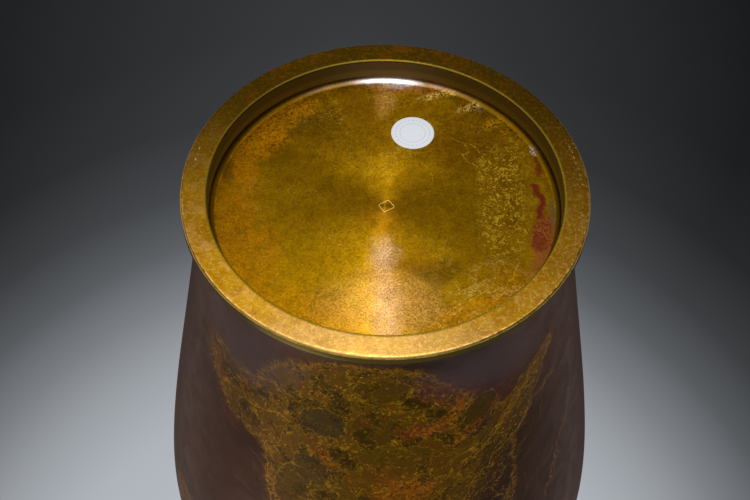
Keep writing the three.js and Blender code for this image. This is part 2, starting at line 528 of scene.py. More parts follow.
def build_lathe():
    inputs = (
        ("Segments", "NodeSocketInt"),
        ("Waver", "NodeSocketFloat"),
        ("Waver Length", "NodeSocketFloat"),
        ("Finish", "NodeSocketMaterial"),
    )
    wire, given = new_geometry_tree("lathe", inputs)
    size = wire.add("GeometryNodeAttributeDomainSize", {"Geometry": given["Geometry"]})
    rows = wire.math("ADD", given["Segments"], 1.0)
    sheet = {"Vertices X": size.outputs["Point Count"], "Vertices Y": rows}
    grid = wire.add("GeometryNodeMeshGrid", sheet).outputs["Mesh"]

    number = wire.math("ADD", wire.add("GeometryNodeInputIndex").outputs[0], 0.5)
    column = wire.math("FLOOR", wire.math("DIVIDE", number, rows))
    row = wire.math("FLOOR", wire.math("SUBTRACT", number, wire.math("MULTIPLY", column, rows)))
    angle = wire.math("MULTIPLY", wire.math("DIVIDE", row, given["Segments"]), math.tau)

    def from_profile(kind, value):
        ends = {"Geometry": given["Geometry"], "Value": value, "Index": column}
        return wire.add("GeometryNodeSampleIndex", ends, data_type=kind).outputs[0]

    drawn = from_profile("FLOAT_VECTOR", wire.add("GeometryNodeInputPosition").outputs[0])
    turn = {"Vector": drawn, "Angle": angle}
    turned = wire.add("ShaderNodeVectorRotate", turn, rotation_type="Z_AXIS").outputs[0]
    skin = wire.add("GeometryNodeSetPosition", {"Geometry": grid, "Position": turned}).outputs[0]

    inner_mark = {"Name": "inner_side"}
    marked = wire.add("GeometryNodeInputNamedAttribute", inner_mark, data_type="FLOAT").outputs[0]
    ends = {"Geometry": skin, "Name": "inner_side", "Value": from_profile("FLOAT", marked)}
    skin = wire.add("GeometryNodeStoreNamedAttribute", ends, data_type="FLOAT").outputs[0]

    here = wire.add("GeometryNodeInputPosition").outputs[0]
    lump = wire.lumps(here, given["Waver Length"], detail=2.0)
    outwards = wire.vector("NORMALIZE", wire.flattened(here))
    depth = wire.math("MULTIPLY", lump, given["Waver"])
    inwards = wire.scaled(outwards, wire.math("MULTIPLY", depth, -1.0))
    skin = wire.add("GeometryNodeSetPosition", {"Geometry": skin, "Offset": inwards}).outputs[0]
    closing = {"Geometry": skin, "Distance": DOUBLES_DISTANCE}
    skin = wire.add("GeometryNodeMergeByDistance", closing).outputs[0]
    return end_geometry_tree(wire, skin, given["Finish"])


lathe = build_lathe()
print("lathe tree:", len(lathe.nodes), "nodes")

# %% [markdown]
# ## From a tree to a plain mesh
#
# A modifier keeps working until it is frozen. Each piece is frozen as soon as it is made: the evaluated
# result becomes a plain mesh with its faces pointing out. Faces that meet at a shallow angle are shaded as
# one smooth surface, and real corners stay crisp.

# %% Run a tree and keep its mesh
SHARP_ANGLE = 38.0


def set_inputs(modifier, values):
    """A modifier's inputs go by the identifiers of the tree's sockets, so each name is looked up first."""
    for socket in modifier.node_group.interface.items_tree:
        if socket.item_type == "SOCKET" and socket.in_out == "INPUT" and socket.name in values:
            modifier[socket.identifier] = values[socket.name]


def run_trees(name, mesh, steps):
    """Runs trees, given as (tree, inputs), one after another on a mesh, and gives a plain object back."""
    for tree, values in steps:
        raw = bpy.data.objects.new("raw_" + name, mesh)
        bpy.context.scene.collection.objects.link(raw)
        modifier = raw.modifiers.new("tree", "NODES")
        modifier.node_group = tree
        set_inputs(modifier, values)
        evaluated = raw.evaluated_get(bpy.context.evaluated_depsgraph_get())
        mesh = bpy.data.meshes.new_from_object(evaluated)
        bpy.data.objects.remove(raw)
    shape = bmesh.new()
    shape.from_mesh(mesh)
    bmesh.ops.recalc_face_normals(shape, faces=shape.faces)
    shape.to_mesh(mesh)
    shape.free()
    mesh.shade_smooth()
    mesh.set_sharp_from_angle(angle=math.radians(SHARP_ANGLE))
    mesh.name = name
    piece = bpy.data.objects.new(name, mesh)
    bpy.context.scene.collection.objects.link(piece)
    print(name, "has", sum(len(face.vertices) - 2 for face in mesh.polygons), "triangles")
    return piece


def profile_mesh(outer, inner=()):
    """A line of points for the lathe. The points of the inner run are marked, for the finish inside."""
    points = list(outer) + list(inner)
    mesh = bpy.data.meshes.new("profile")
    corners = [(radius * MM, 0.0, height * MM) for radius, height in points]
    mesh.from_pydata(corners, [(n, n + 1) for n in range(len(points) - 1)], [])
    mark = mesh.attributes.new("inner_side", "FLOAT", "POINT")
    mark.data.foreach_set("value", [0.0] * len(outer) + [1.0] * len(inner))
    return mesh


def dress(piece, node):
    """Attaches a piece to the root, and hides the solid that it stands for."""
    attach(piece, "root")
    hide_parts(node)


print("faces that meet at more than", SHARP_ANGLE, "degrees keep a crisp edge")

# %% [markdown]
# ## Patina, part 1: where clouds lie
#
# A patina is not one colour. It is made of clouds that the maker let run over the hot metal, and each has
# its own place, size and ragged edge. These node groups are used by every bronze finish below. They only
# give masks, so each finish decides which colour a cloud has.


# %% Node groups for clouds
def new_group(name, inputs, outputs):
    """An empty shader group. Inputs are (name, kind, value), outputs are (name, kind)."""
    kinds = {"number": "NodeSocketFloat", "vector": "NodeSocketVector", "colour": "NodeSocketColor"}
    tree = bpy.data.node_groups.new(name, "ShaderNodeTree")
    for socket_name, kind, value in inputs:
        socket = tree.interface.new_socket(socket_name, in_out="INPUT", socket_type=kinds[kind])
        if value is not None:
            socket.default_value = value
    for socket_name, kind in outputs:
        tree.interface.new_socket(socket_name, in_out="OUTPUT", socket_type=kinds[kind])
    wire = Wiring(tree)
    return wire, wire.add("NodeGroupInput").outputs


def build_ragged_place():
    """Moves every point a little by two noises, so that what is drawn with the result has ragged edges."""
    inputs = (
        ("Place", "vector", None),
        ("Wide Length", "number", 20.0),
        ("Wide Shift", "number", 8.0),
        ("Fine Length", "number", 3.0),
        ("Fine Shift", "number", 2.0),
    )
    wire, given = new_group("ragged_place", inputs, (("Place", "vector"),))
    place = given["Place"]
    for length, shift in (("Wide Length", "Wide Shift"), ("Fine Length", "Fine Shift")):
        lumps = wire.lumps(given["Place"], given[length], output=1)
        centred = wire.vector("SUBTRACT", lumps, (0.5, 0.5, 0.5))
        place = wire.vector("ADD", place, wire.scaled(centred, wire.math("MULTIPLY", given[shift], 2.0)))
    wire.add("NodeGroupOutput", {"Place": place})
    return wire.tree


def build_cloud():
    """An oval cloud: 1 inside, 0 outside. Rim is a thin line along its edge."""
    inputs = (
        ("Place", "vector", None),
        ("Centre", "vector", None),
        ("Half Size", "vector", (10.0, 10.0, 1000.0)),
        ("Turn", "number", 0.0),
        ("Softness", "number", 0.4),
    )
    wire, given = new_group("cloud", inputs, (("Mask", "number"), ("Rim", "number")))
    centred = wire.vector("SUBTRACT", given["Place"], given["Centre"])
    turn = {"Vector": centred, "Angle": wire.math("MULTIPLY", given["Turn"], -math.pi / 180)}
    turned = wire.add("ShaderNodeVectorRotate", turn, rotation_type="Z_AXIS").outputs[0]
    distance = wire.vector("LENGTH", wire.vector("DIVIDE", turned, given["Half Size"]))
    inner, outer = wire.math("SUBTRACT", 1.0, given["Softness"]), wire.math("ADD", 1.0, given["Softness"])
    mask = wire.between(distance, inner, outer, 1.0, 0.0)
    off_edge = wire.math("ABSOLUTE", wire.math("SUBTRACT", distance, 1.0))
    rim = wire.between(off_edge, 0.0, wire.math("MULTIPLY", given["Softness"], 0.35), 1.0, 0.0)
    wire.add("NodeGroupOutput", {"Mask": mask, "Rim": rim})
    return wire.tree


ragged_place = build_ragged_place()
cloud = build_cloud()
print("groups:", ragged_place.name, cloud.name)

# %% [markdown]
# ## Patina, part 2: veins, specks and tool marks
#
# Where one cloud dried over another, thin lines of bare gold are left, like the height lines on a map. So
# veins are drawn as the height lines of a noise, broken up by a second one. Specks are the highest grains
# of a fine noise. Tool marks are rings round the axis, and they only touch the relief. A stroke is one
# straight piece of a line, and a drop that ran or a scratch is drawn with several of them in a row.


# %% Node groups for veins, specks and tool marks
VEIN_BREAK = 0.12
SPECK_LEVEL, SPECK_RANGE, SPECK_EDGE = 0.78, 0.35, 0.09


def build_veins():
    """Thin broken lines. More gaps leave shorter pieces of them."""
    inputs = (
        ("Place", "vector", None),
        ("Length", "number", 25.0),
        ("Count", "number", 5.0),
        ("Width", "number", 0.12),
        ("Gaps", "number", 0.5),
        ("Gap Length", "number", 5.0),
    )
    wire, given = new_group("veins", inputs, (("Mask", "number"),))
    hills = wire.lumps(given["Place"], given["Length"], detail=3.5, distortion=0.6)
    height = wire.math("MULTIPLY", hills, given["Count"])
    off_line = wire.math("ABSOLUTE", wire.math("SUBTRACT", wire.math("FRACT", height), 0.5))
    line = wire.between(off_line, 0.0, given["Width"], 1.0, 0.0)
    broken = wire.lumps(given["Place"], given["Gap Length"], detail=4.0, roughness=0.65)
    kept = wire.between(broken, given["Gaps"], wire.math("ADD", given["Gaps"], VEIN_BREAK))
    wire.add("NodeGroupOutput", {"Mask": wire.math("MULTIPLY", line, kept)})
    return wire.tree


def build_specks():
    """The highest grains of a fine noise. A larger amount lets more of them through."""
    inputs = (("Place", "vector", None), ("Length", "number", 1.0), ("Amount", "number", 0.3))
    wire, given = new_group("specks", inputs, (("Mask", "number"),))
    grains = wire.lumps(given["Place"], given["Length"], detail=4.0, roughness=0.75)
    start = wire.math("SUBTRACT", SPECK_LEVEL, wire.math("MULTIPLY", given["Amount"], SPECK_RANGE))
    mask = wire.between(grains, start, wire.math("ADD", start, SPECK_EDGE))
    wire.add("NodeGroupOutput", {"Mask": mask})
    return wire.tree


def build_tool_marks():
    """Rings round the axis, as a height for the relief. Pitch is from one ring to the next."""
    inputs = (("Place", "vector", None), ("Pitch", "number", 0.5))
    wire, given = new_group("tool_marks", inputs, (("Height", "number"),))
    radius = wire.vector("LENGTH", wire.flattened(given["Place"]))
    rings = wire.add("ShaderNodeCombineXYZ", {"X": wire.math("DIVIDE", radius, given["Pitch"])})
    wire.add("NodeGroupOutput", {"Height": wire.noise(rings.outputs[0], 1.0, detail=4.0, roughness=0.7)})
    return wire.tree


def build_stroke():
    """One straight stroke of a brush or a scratch, from Start to End."""
    inputs = (
        ("Place", "vector", None),
        ("Start", "vector", None),
        ("End", "vector", None),
        ("Width", "number", 1.0),
    )
    wire, given = new_group("stroke", inputs, (("Mask", "number"),))
    along = wire.vector("SUBTRACT", given["End"], given["Start"])
    here = wire.vector("SUBTRACT", given["Place"], given["Start"])
    passed = wire.vector("DOT_PRODUCT", here, along)
    share = wire.math("DIVIDE", passed, wire.vector("DOT_PRODUCT", along, along))
    share = wire.math("MINIMUM", wire.math("MAXIMUM", share, 0.0), 1.0)
    off_line = wire.vector("LENGTH", wire.vector("SUBTRACT", here, wire.scaled(along, share)))
    half = wire.math("MULTIPLY", given["Width"], 0.5)
    mask = wire.between(wire.math("DIVIDE", off_line, half), 0.4, 1.3, 1.0, 0.0)
    wire.add("NodeGroupOutput", {"Mask": mask})
    return wire.tree


veins, specks, tool_marks, stroke = build_veins(), build_specks(), build_tool_marks(), build_stroke()
print("groups:", veins.name, specks.name, tool_marks.name, stroke.name)

# %% [markdown]
# ## Worn edges
#
# Edges that are handled, or stood on, lose their patina first. On a turned piece an edge is a circle, so
# one radius and one height say where it is, and a noise makes the bare band wider and narrower along its
# way.


# %% A node group for worn edges
def build_edge_wear():
    inputs = (
        ("Place", "vector", None),
        ("Edge Radius", "number", 90.0),
        ("Edge Height", "number", 0.0),
        ("Reach", "number", 1.0),
        ("Chip Length", "number", 3.0),
    )
    wire, given = new_group("edge_wear", inputs, (("Mask", "number"),))
    radius = wire.vector("LENGTH", wire.flattened(given["Place"]))
    across = wire.math("SUBTRACT", radius, given["Edge Radius"])
    along = wire.math("SUBTRACT", wire.split(given["Place"])["Z"], given["Edge Height"])
    squares = wire.math("ADD", wire.math("MULTIPLY", across, across), wire.math("MULTIPLY", along, along))
    chips = wire.lumps(given["Place"], given["Chip Length"], detail=4.0, roughness=0.65)
    reach = wire.math("MULTIPLY", given["Reach"], wire.between(chips, 0.3, 0.7, 0.3, 1.7))
    mask = wire.between(wire.math("DIVIDE", wire.math("SQRT", squares), reach), 0.4, 1.0, 1.0, 0.0)
    wire.add("NodeGroupOutput", {"Mask": mask})
    return wire.tree


edge_wear = build_edge_wear()
print("group:", edge_wear.name)

# %% [markdown]
# ## A finish for bronze
#
# Patina is a thin skin on metal, so bronze stays a metal here, with the patina's colour as its own. Seen at
# a grazing angle, bare metal mirrors all colours alike and patina mirrors less, which is what the specular
# tint is for. What is the same all over, such as that tint, is set on the shader itself. Turned faces have
# rings of fine tool marks, which spread a highlight away from the axis, so their gloss is anisotropic round
# the Z axis.


# %% Start a material, and lay clouds over a colour
PATINA_GRAZING = (0.6, 0.6, 0.6)


class Finish(Wiring):
    """One material: a Principled shader, and the place of each point in millimetres."""

    def __init__(self, name, metallic=1.0, coat_roughness=0.2, anisotropy=0.0, grazing=PATINA_GRAZING):
        self.material = bpy.data.materials.new(name)
        self.material.use_nodes = True
        super().__init__(self.material.node_tree)
        self.tree.nodes.clear()
        self.shader = self.add("ShaderNodeBsdfPrincipled")
        self.add("ShaderNodeOutputMaterial", {"Surface": self.shader.outputs[0]})
        fixed = {"Metallic": metallic, "Coat Roughness": coat_roughness, "Specular Tint": (*grazing, 1.0)}
        if anisotropy:
            fixed |= {"Anisotropic": anisotropy, "Anisotropic Rotation": 0.25}
            around = self.add("ShaderNodeTangent", direction_type="RADIAL", axis="Z").outputs[0]
            self.feed(self.shader.inputs["Tangent"], around)
        for socket, value in fixed.items():
            self.shader.inputs[socket].default_value = value
        self.place = self.scaled(self.add("ShaderNodeTexCoord").outputs["Object"], 1 / MM)
        self.radius = self.vector("LENGTH", self.flattened(self.place))
        self.height = self.split(self.place)["Z"]

    def ragged(self, wide_length, wide_shift, fine_length, fine_shift):
        ends = {"Place": self.place, "Wide Length": wide_length, "Wide Shift": wide_shift}
        ends |= {"Fine Length": fine_length, "Fine Shift": fine_shift}
        return self.use(ragged_place, ends)["Place"]

    def times(self, *masks):
        product = masks[0]
        for mask in masks[1:]:
            product = self.math("MULTIPLY", product, mask)
        return product

    def rest_of(self, mask):
        return self.math("SUBTRACT", 1.0, mask)

    def cover(self, colour, mask, shade, strength=1.0):
        """The shade over the colour, where the mask says."""
        return self.mix(self.math("MULTIPLY", mask, strength), colour, (*shade, 1.0))

    def cloud_at(self, place, centre, half_size, turn, softness, output="Mask"):
        where = {"Place": place, "Centre": (*centre, 0.0), "Half Size": (*half_size, 1e6)}
        return self.use(cloud, where | {"Turn": turn, "Softness": softness})[output]

    def contour(self, height, level, width):
        """A thin line where a height passes a level, as on a map."""
        off_level = self.math("ABSOLUTE", self.math("SUBTRACT", height, level))
        return self.between(off_level, 0.0, width, 1.0, 0.0)

    def drawn(self, place, points, width):
        """A line drawn through points."""
        mask, flat = 0.0, self.flattened(place)
        for start, end in zip(points, points[1:]):
            ends = {"Place": flat, "Start": (*start, 0.0), "End": (*end, 0.0), "Width": width}
            mask = self.math("MAXIMUM", mask, self.use(stroke, ends)["Mask"])
        return mask

    def lay_clouds(self, colour, place, clouds, textures):
        """Lays clouds, given as rows. The last word of a row names the texture that breaks the cloud up."""
        for centre, half_size, turn, softness, strength, shade, texture in clouds:
            mask = self.cloud_at(place, centre, half_size, turn, softness)
            if texture:
                mask = self.times(mask, textures[texture])
            colour = self.cover(colour, mask, shade, strength)
        return colour

    def grained(self, colour, grain, dark, light):
        """Makes a colour darker and lighter by a grain that runs from 0 to 1."""
        shade = self.between(grain, 0.25, 0.75, dark, light)
        tone = self.add("ShaderNodeCombineXYZ", {"X": shade, "Y": shade, "Z": shade}).outputs[0]
        return self.mix(1.0, colour, tone, "MULTIPLY")

    def relief(self, *steps):
        """Bumps on bumps, each given as (height, how far it stands up in mm)."""
        normal = None
        for height, rise in steps:
            bump = self.add("ShaderNodeBump", {"Height": height, "Distance": rise * MM, "Strength": 1.0})
            if normal is not None:
                self.feed(bump.inputs["Normal"], normal)
            normal = bump.outputs[0]
        self.feed(self.shader.inputs["Normal"], normal)

    def finish(self, colour, roughness):
        self.feed(self.shader.inputs["Base Color"], colour)
        self.feed(self.shader.inputs["Roughness"], roughness)
        return self.material


print("a finish starts from the Principled shader, with patina's tint", PATINA_GRAZING)

# %% [markdown]
# ## The golden patina of the base plate
#
# The plate has the liveliest patina of the whole vase, though it is out of sight in use. Its clouds are
# listed one by one, as they lie on the real plate: orange along one side, clean olive in the middle, gold
# towards the front, and a string of crimson drops along the other side. A picture of the plate could be
# laid on instead, but clouds that are drawn by rule stay sharp at any distance. A row gives a cloud's
# centre, half size, turn, softness, strength and colour, in millimetres from the middle and in degrees. Its
# last word is the texture that breaks it up: mottled like orange peel, flecked with bare spots, or grainy.

# %% Colours of the patina
OLIVE = (0.235, 0.115, 0.0012)
DARK_OLIVE = (0.14, 0.066, 0.0008)
YELLOW_OLIVE = (0.34, 0.174, 0.0015)
GOLD = (0.52, 0.27, 0.008)
WORM_GOLD = (0.68, 0.42, 0.03)
PALE_GOLD = (0.85, 0.56, 0.14)
ORANGE = (0.44, 0.17, 0.002)
RED_BROWN = (0.27, 0.09, 0.004)
BROWN = (0.12, 0.047, 0.001)
CRIMSON = (0.2, 0.024, 0.011)
ROSE = (0.38, 0.09, 0.03)
COPPER_PINK = (0.66, 0.33, 0.09)
# CREAM is a painted highlight along the plate's streak.
CREAM = (0.46, 0.28, 0.17)
SMOKE = (0.09, 0.045, 0.003)
GREY = (0.14, 0.12, 0.1)
# WHITE is a painted highlight in the far corner, and the colour of one small mark.
WHITE = (0.84, 0.78, 0.78)
# A lilac brown, partly patina and partly a painted sheen round the far corner.
LILAC_PATINA_AND_SHEEN = (0.36, 0.22, 0.2)
WALL_BROWN = (0.12, 0.062, 0.002)
# A lighter brown, painted as a sheen on the middle of the far wall.
FAR_WALL_SHEEN = (0.185, 0.108, 0.03)
INSIDE_BROWN = (0.035, 0.024, 0.016)
print("the plate is", OLIVE, "to", YELLOW_OLIVE)

# %% Where the clouds lie on the plate
PLATE_CLOUDS = (
    ((0, 50), (58, 24), 0, 0.6, 0.9, DARK_OLIVE, None),
    ((-42, 20), (22, 34), 0, 0.5, 0.35, DARK_OLIVE, None),
    ((72, 8), (15, 45), 0, 0.2, 0.95, ORANGE, "mottled"),
    ((62, -38), (15, 26), 20, 0.2, 0.95, ORANGE, "mottled"),
    ((60, 42), (14, 17), 0, 0.2, 0.95, ORANGE, "mottled"),
    ((49, 53), (17, 9), -38, 0.2, 0.85, ORANGE, "mottled"),
    ((35, -60), (26, 12), 20, 0.4, 0.75, ORANGE, "mottled"),
    ((32, -38), (26, 20), 0, 0.5, 0.45, YELLOW_OLIVE, "mottled"),
    ((14, -22), (18, 34), 0, 0.6, 0.5, YELLOW_OLIVE, None),
    ((40, 2), (16, 24), 0, 0.5, 0.15, DARK_OLIVE, None),
    ((41, 27), (8, 5), 0, 0.7, 0.5, BROWN, "mottled"),
    ((15, 61), (6, 14), -35, 0.7, 0.55, BROWN, "mottled"),
    ((34, 50), (12, 9), 0, 0.7, 0.4, SMOKE, None),
    ((-7, 15), (14, 10), 0, 0.7, 0.25, BROWN, "mottled"),
    ((0, -8), (12, 8), 0, 0.7, 0.5, RED_BROWN, "grainy"),
    ((-30, -18), (22, 22), 0, 0.6, 0.45, YELLOW_OLIVE, None),
    ((-41, 40), (20, 16), -25, 0.6, 0.5, BROWN, None),
    ((-60, 20), (8, 20), 0, 0.7, 0.3, BROWN, None),
    ((-23, -36), (11, 5.5), 5, 0.6, 0.75, SMOKE, "mottled"),
    ((-8, -33), (13, 6), -20, 0.5, 0.6, RED_BROWN, "flecked"),
    ((-2, -54), (24, 15), 0, 0.7, 0.4, COPPER_PINK, "grainy"),
    ((-58, -50), (17, 17), 0, 0.3, 0.75, ORANGE, "mottled"),
    ((-40, -62), (24, 9), -25, 0.3, 0.75, ORANGE, "mottled"),
    ((-36, -44), (14, 8), -30, 0.25, 0.7, YELLOW_OLIVE, None),
    # Painted highlight: cream along the turned plate's streak.
    ((0, -60), (6, 18), 0, 0.9, 0.55, CREAM, "grainy"),
    ((0, -28), (6, 9), 0, 0.8, 0.75, CREAM, "grainy"),
    # Painted highlight: white next to the solder's white shine.
    ((0, 77), (13, 4), 0, 0.8, 0.7, WHITE, None),
    ((0, 66), (4.5, 10), 0, 0.8, 0.35, COPPER_PINK, "grainy"),
    ((-14, 72), (20, 3), -6, 0.6, 0.5, ROSE, "flecked"),
)

# %% Small marks on the plate
PLATE_MARKS = (
    ((-70, -18), (5.4, 13), 8, 0.3, 0.8, ROSE, "grainy"),
    ((-69.5, -15), (4.6, 11), 6, 0.3, 0.9, CRIMSON, "flecked"),
    ((-67.5, -20), (3, 4), 0, 0.5, 0.6, CRIMSON, None),
    ((-69.8, 24), (1.7, 6), 4, 0.4, 0.6, CRIMSON, "flecked"),
    ((-65, -32), (3.4, 7), 20, 0.6, 0.4, ROSE, "flecked"),
    ((-67.5, -33), (3, 8), 22, 0.5, 0.6, ROSE, "flecked"),
    ((-27, 69.5), (11, 2), -17, 0.5, 0.6, PALE_GOLD, "flecked"),
    ((-42, 63), (9, 2.6), -32, 0.5, 0.65, PALE_GOLD, "flecked"),
    ((-52, 53), (8, 3.5), -45, 0.5, 0.6, GOLD, "flecked"),
    ((-59, 43), (4, 9), -35, 0.5, 0.5, GOLD, "flecked"),
    ((-47, 61), (5, 1.6), -35, 0.4, 0.8, GREY, "flecked"),
    ((-74.6, -4), (1.0, 8), -3, 0.5, 0.8, GREY, "flecked"),
    ((-69.5, 34.5), (3.3, 3.5), 0, 0.3, 0.9, WHITE, "flecked"),
    ((72, 20), (2.4, 8), -10, 0.4, 0.5, SMOKE, None),
)
PLATE_STROKES = (
    ((-66.8, 13.5), (-67.8, 10.2), (-70.3, 6.6), (-71, 2.5), (-69.2, -1.5), (-68.3, -4.5)),
    ((-69.3, 29), (-70.2, 24.5), (-69.4, 19)),
)
PLATE_LINES = (
    ((-23, -56), (-28, -57), (-32, -54.5), (-38.7, -50.2), (-45.2, -44.8), (-49.8, -37.7), (-48.7, -32.4)),
    ((-37, -58), (-44, -55), (-51, -47), (-54, -40.3), (-58.7, -31)),
    ((-36.5, 37), (-38, 32.5), (-34.5, 31.5), (-37.5, 28), (-42, 24), (-44, 17)),
    ((-31, 41), (-38, 38), (-45.6, 31.1)),
    ((-17, 26), (-21, 19), (-22.5, 14)),
)
print(len(PLATE_CLOUDS), "clouds and", len(PLATE_MARKS), "small marks")


# %% The plate's patina
STROKE_WIDTHS, STROKE_STRENGTHS = (2.9, 2.0), (0.95, 0.6)


def plate_patina(made):
    """The plate's colour, and the two textures that its relief and gloss follow."""
    soft_place = made.ragged(20.0, 7.0, 3.0, 2.2)
    torn_place = made.ragged(6.0, 2.2, 1.1, 1.1)
    grain = made.noise(made.place, 0.9, detail=3.0, roughness=0.75)
    peel = made.noise(torn_place, 1.3, detail=4.0, roughness=0.75)
    textures = {
        "mottled": made.between(peel, 0.4, 0.54),
        "flecked": made.between(made.noise(made.place, 1.3, detail=4.0, roughness=0.8), 0.47, 0.56),
        "grainy": made.between(made.noise(made.place, 0.9, detail=3.0, roughness=0.7), 0.3, 0.58),
    }

    drift = made.between(made.noise(made.place, 34.0), 0.35, 0.65)
    colour = made.mix(drift, (*OLIVE, 1.0), (*YELLOW_OLIVE, 1.0))
    colour = made.lay_clouds(colour, soft_place, PLATE_CLOUDS, textures)
    colour = made.grained(colour, peel, 0.72, 1.22)
    colour = made.grained(colour, made.noise(torn_place, 6.0, detail=6.0, roughness=0.68), 0.74, 1.2)
    colour = made.grained(colour, grain, 0.72, 1.2)

    worms = {"Place": torn_place, "Length": 2.8, "Count": 4.5, "Width": 0.24}
    worm_lines = made.use(veins, worms | {"Gaps": 0.4, "Gap Length": 2.2})["Mask"]
    worm_patch = made.cloud_at(soft_place, (-53, 0), (11, 34), 0, 0.4)
    colour = made.cover(colour, made.times(worm_lines, worm_patch), WORM_GOLD, 0.95)
    worm_drift = made.between(made.noise(made.place, 18.0), 0.52, 0.68)
    colour = made.cover(colour, made.times(worm_lines, worm_drift), WORM_GOLD, 0.3)
    island_patch = made.cloud_at(soft_place, (-42, -52), (26, 16), -38, 0.4)
    islands = made.noise(torn_place, 9.0, detail=4.0, roughness=0.6)
    colour = made.cover(colour, made.times(made.contour(islands, 0.5, 0.02), island_patch), PALE_GOLD, 0.4)
    for points in PLATE_LINES:
        line = made.times(made.drawn(torn_place, points, 0.5), made.between(grain, 0.4, 0.55))
        colour = made.cover(colour, line, WORM_GOLD, 0.5)
    for points, width, strength in zip(PLATE_STROKES, STROKE_WIDTHS, STROKE_STRENGTHS):
        colour = made.cover(colour, made.drawn(torn_place, points, width), CRIMSON, strength)
    colour = made.lay_clouds(colour, torn_place, PLATE_MARKS, textures)

    glints = made.use(specks, {"Place": made.place, "Length": 0.8, "Amount": 0.16})["Mask"]
    pits = made.use(specks, {"Place": torn_place, "Length": 0.9, "Amount": 0.14})["Mask"]
    colour = made.cover(colour, glints, PALE_GOLD, 0.45)
    return made.cover(colour, pits, BROWN, 0.22), grain, peel


print(len(PLATE_STROKES), "crimson drops and", len(PLATE_LINES), "golden shores are drawn by hand")


# %% The base plate's finish
def plate_finish():
    made = Finish("golden_bronze_patina", anisotropy=0.78)
    colour, grain, peel = plate_patina(made)
    inner_face = made.between(made.height, PLATE_UNDERSIDE + 0.5, PLATE_UNDERSIDE + 1.0)
    colour = made.cover(colour, inner_face, INSIDE_BROWN)
    marks = made.use(tool_marks, {"Place": made.place, "Pitch": 0.35})
    made.relief((made.noise(made.place, 26.0, detail=2.0), 0.12), (marks["Height"], 0.004), (grain, 0.006))
    gloss = made.between(peel, 0.3, 0.7, 0.27, 0.38)
    return made.finish(colour, made.math("ADD", gloss, made.math("MULTIPLY", inner_face, 0.3)))


plate_bronze = plate_finish()
print("plate finish:", len(plate_bronze.node_tree.nodes), "nodes")

# %% [markdown]
# ## The rubbed patina of the foot ring
#
# The ring is the same bronze, worn by every table it has stood on. Its flat underside is golden with
# copper mottles, its rounded inner edge is smooth and olive, and the outer bevel is worn bright. The band
# round the outside is painted dark, as painted shade. The far side is painted darker, as painted shade,
# with fainter bevel wear, dark flecks and a dark inner edge, and the near side gets a paler painted sheen,
# pale flecks and a bright inner edge, as painted highlight. The patina is darker on the right of the
# picture, a few scratches cross it, and the wall of the recess is dull, because no cloth gets there. On
# that wall a lighter painted sheen lies in the middle of the far side, and the wall is painted darker
# towards the ring's edge and lighter towards the solder. The parts of the ring could be materials of their
# own, but then a hard line would show between them. So one material asks for radius and height, which say
# where on the ring a point is.

# %% Colours and scratches of the foot ring
RING_BROWN = (0.365, 0.175, 0.001)
RING_GOLD = (0.49, 0.245, 0.004)
RING_STAIN = (0.34, 0.12, 0.001)
# A paler gold, painted on the near side as a sheen.
NEAR_SHEEN_GOLD = (0.36, 0.235, 0.1)
RIGHT_BROWN = (0.16, 0.064, 0.001)
# Painted shade of the far side, with its dark mottles and flecks.
FAR_SHADE_BROWN = (0.054, 0.027, 0.0008)
FAR_MOTTLE = (0.16, 0.05, 0.002)
FAR_SHADE_FLECK = (0.19, 0.095, 0.003)
SCRATCH_COPPER = (0.85, 0.5, 0.24)
# The inner edge: painted highlight at the front, painted shade at the back.
NEAR_LIT_INNER_EDGE = (0.5, 0.35, 0.015)
FAR_SHADED_INNER_EDGE = (0.1, 0.068, 0.008)
# The band's dark brown is painted shade.
BAND_BROWN = (0.09, 0.065, 0.006)
SLOPE_BROWN = (0.05, 0.034, 0.006)
BARE_EDGE = (0.8, 0.52, 0.16)
RING_SCRATCHES = (
    ((-81, 27), (-84, 20)),
    ((-83, 30), (-85, 25)),
    ((-83.5, 21), (-86.5, 12)),
    ((-85, 14), (-87.5, 8)),
    ((-86, 8), (-87.5, 1)),
    ((-84, -14), (-86.5, -9)),
    ((-82, -22), (-85, -17)),
    ((82, 24), (86, 12)),
    ((80, -8), (85, -12)),
    ((76, -36), (81, -31)),
)
print(len(RING_SCRATCHES), "scratches on the ring")


